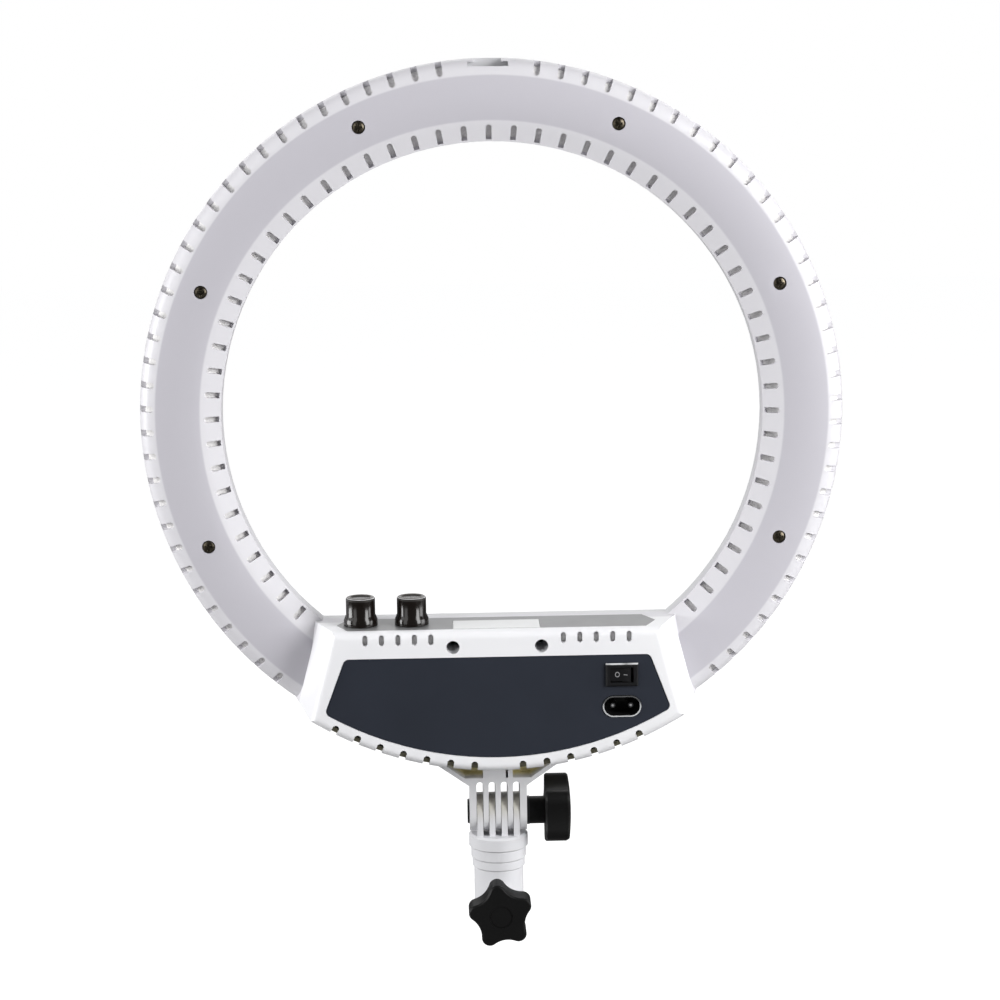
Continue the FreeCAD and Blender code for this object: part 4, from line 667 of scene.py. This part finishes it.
screwSetup = {
    "circle": 150 * mm,                         # the ring cover's screws, about the ring's axis
    "turns": (-114, -66, -24, 24, 66, 114),     # degrees from the top
    "seat": -9.2 * mm,                          # y of the CAD head's flat face
    "wells": ((-21 * mm, 143 * mm), (21 * mm, 143 * mm)),
    "wellSeat": -11.2 * mm,
    "radius": 2.85 * mm,
    "rise": 0.75 * mm,
    "lift": 0.05 * mm,                          # keeps the face clear of the CAD head below it
    "crossWidth": 0.42 * mm,
    "crossLength": 1.8 * mm,
    "crossDepth": 0.6 * mm,
    "crossFloor": 0.04 * mm,                    # the least height left under the cross
    "softEdge": 0.1 * mm,
    "rings": 14,
    "steps": 48,
}


def screwFace(setup, x, z, seat):
    # height = lift + rise (1 - (r/R)^2) less the cross, whose sides slope over the soft edge
    rings, steps = setup["rings"], setup["steps"]
    radius = np.linspace(0, setup["radius"], rings + 1)[1:]
    turn = np.linspace(0, 2 * math.pi, steps, endpoint=False)
    along = np.outer(radius, np.cos(turn)).ravel()
    across = np.outer(radius, np.sin(turn)).ravel()
    soft = setup["softEdge"]

    def bar(length, width):
        inLength = np.clip((setup["crossLength"] - abs(length)) / soft, 0, 1)
        inWidth = np.clip((setup["crossWidth"] - abs(width)) / soft + 0.5, 0, 1)
        return inLength * inWidth

    cross = np.maximum(bar(along, across), bar(across, along))
    dome = 1 - (along ** 2 + across ** 2) / setup["radius"] ** 2
    height = setup["rise"] * dome + setup["lift"]
    height -= cross * np.minimum(setup["crossDepth"], height - setup["crossFloor"])
    top = np.stack([x + along, seat - height, z + across], axis=-1)
    rim = np.stack([x + along[-steps:], np.full(steps, seat), z + across[-steps:]], axis=-1)
    crown = [(x, seat - setup["rise"] + setup["crossDepth"], z)]
    here, beside = closedGrid(rings, steps, start=1)
    middle = [(0, one, other) for one, other in zip(here[0].tolist(), beside[0].tolist())]
    walls = np.stack([here, here + steps, beside + steps, beside], axis=-1).reshape(-1, 4)
    start = 1 + rings * steps
    back = range(start + steps - 1, start - 1, -1)
    faces = [tuple(face) for face in (*middle, *walls.tolist(), back)]
    return np.concatenate([crown, top, rim]), faces


def screwFaces(setup):
    heads = []
    for turn in setup["turns"]:
        aside = setup["circle"] * math.sin(math.radians(turn))
        above = setup["circle"] * math.cos(math.radians(turn))
        heads.append(screwFace(setup, aside, ringHeight + above, setup["seat"]))
    for x, z in setup["wells"]:
        heads.append(screwFace(setup, x, z, setup["wellSeat"]))
    return joined(heads)


points, faces = screwFaces(screwSetup)
addPiece("screw_faces", points, faces, "head", "screwMetal")
print("pieces made")


# floor and world

floorSetup = {
    "half": 6.0,                               # metres from its middle to a side
    "drop": 0.16,                              # below the part
    "colour": (0.24, 0.24, 0.24),
    "roughness": 0.9,
    "glow": (0.955, 0.955, 0.955),             # white to the camera, and it lights nothing
}
worldSetup = {
    "colour": (0.95, 0.965, 1.0),
    "strength": 0.14,
}


def floorFinish(setup):
    finish = Finish("floorWhite", setup["colour"], setup["roughness"], Emission_Strength=1.0)
    seen = finish.node("ShaderNodeLightPath", output="Is Camera Ray")
    finish.feed("Emission Color", finish.blend(seen, (0.0, 0.0, 0.0), setup["glow"]))
    return finish.material


def makeFloor(setup):
    half = setup["half"]
    level = cadBox[0][2] - setup["drop"]
    sides = ((-half, -half), (half, -half), (half, half), (-half, half))
    mesh = bpy.data.meshes.new("floor")
    mesh.from_pydata([(x, y, level) for x, y in sides], [], [(0, 1, 2, 3)])
    mesh.materials.append(floorFinish(setup))
    floor = bpy.data.objects.new("floor", mesh)
    bpy.context.collection.objects.link(floor)


def makeWorld(setup):            # soft light for the part, plain white to the camera
    world = bpy.data.worlds.new("studio")
    world.use_nodes = True
    bpy.context.scene.world = world
    tree = world.node_tree
    light = tree.nodes["Background"]
    light.inputs["Color"].default_value = (*setup["colour"], 1.0)
    light.inputs["Strength"].default_value = setup["strength"]
    light = Wire(tree, light.outputs[0])
    values = {"Color": (1.0, 1.0, 1.0, 1.0), "Strength": 1.0}
    white = addNode(tree, "ShaderNodeBackground", values=values)
    seen = addNode(tree, "ShaderNodeLightPath", output="Is Camera Ray")
    through = addNode(tree, "ShaderNodeLightPath", output="Is Transmission Ray")
    values = {0: seen + through > 0.5, 1: light, 2: white}
    plug(tree, tree.nodes["World Output"].inputs["Surface"],
         addNode(tree, "ShaderNodeMixShader", values=values))


makeFloor(floorSetup)
makeWorld(worldSetup)
bpy.context.scene.view_settings.view_transform = "Standard"
print("floor and world made")
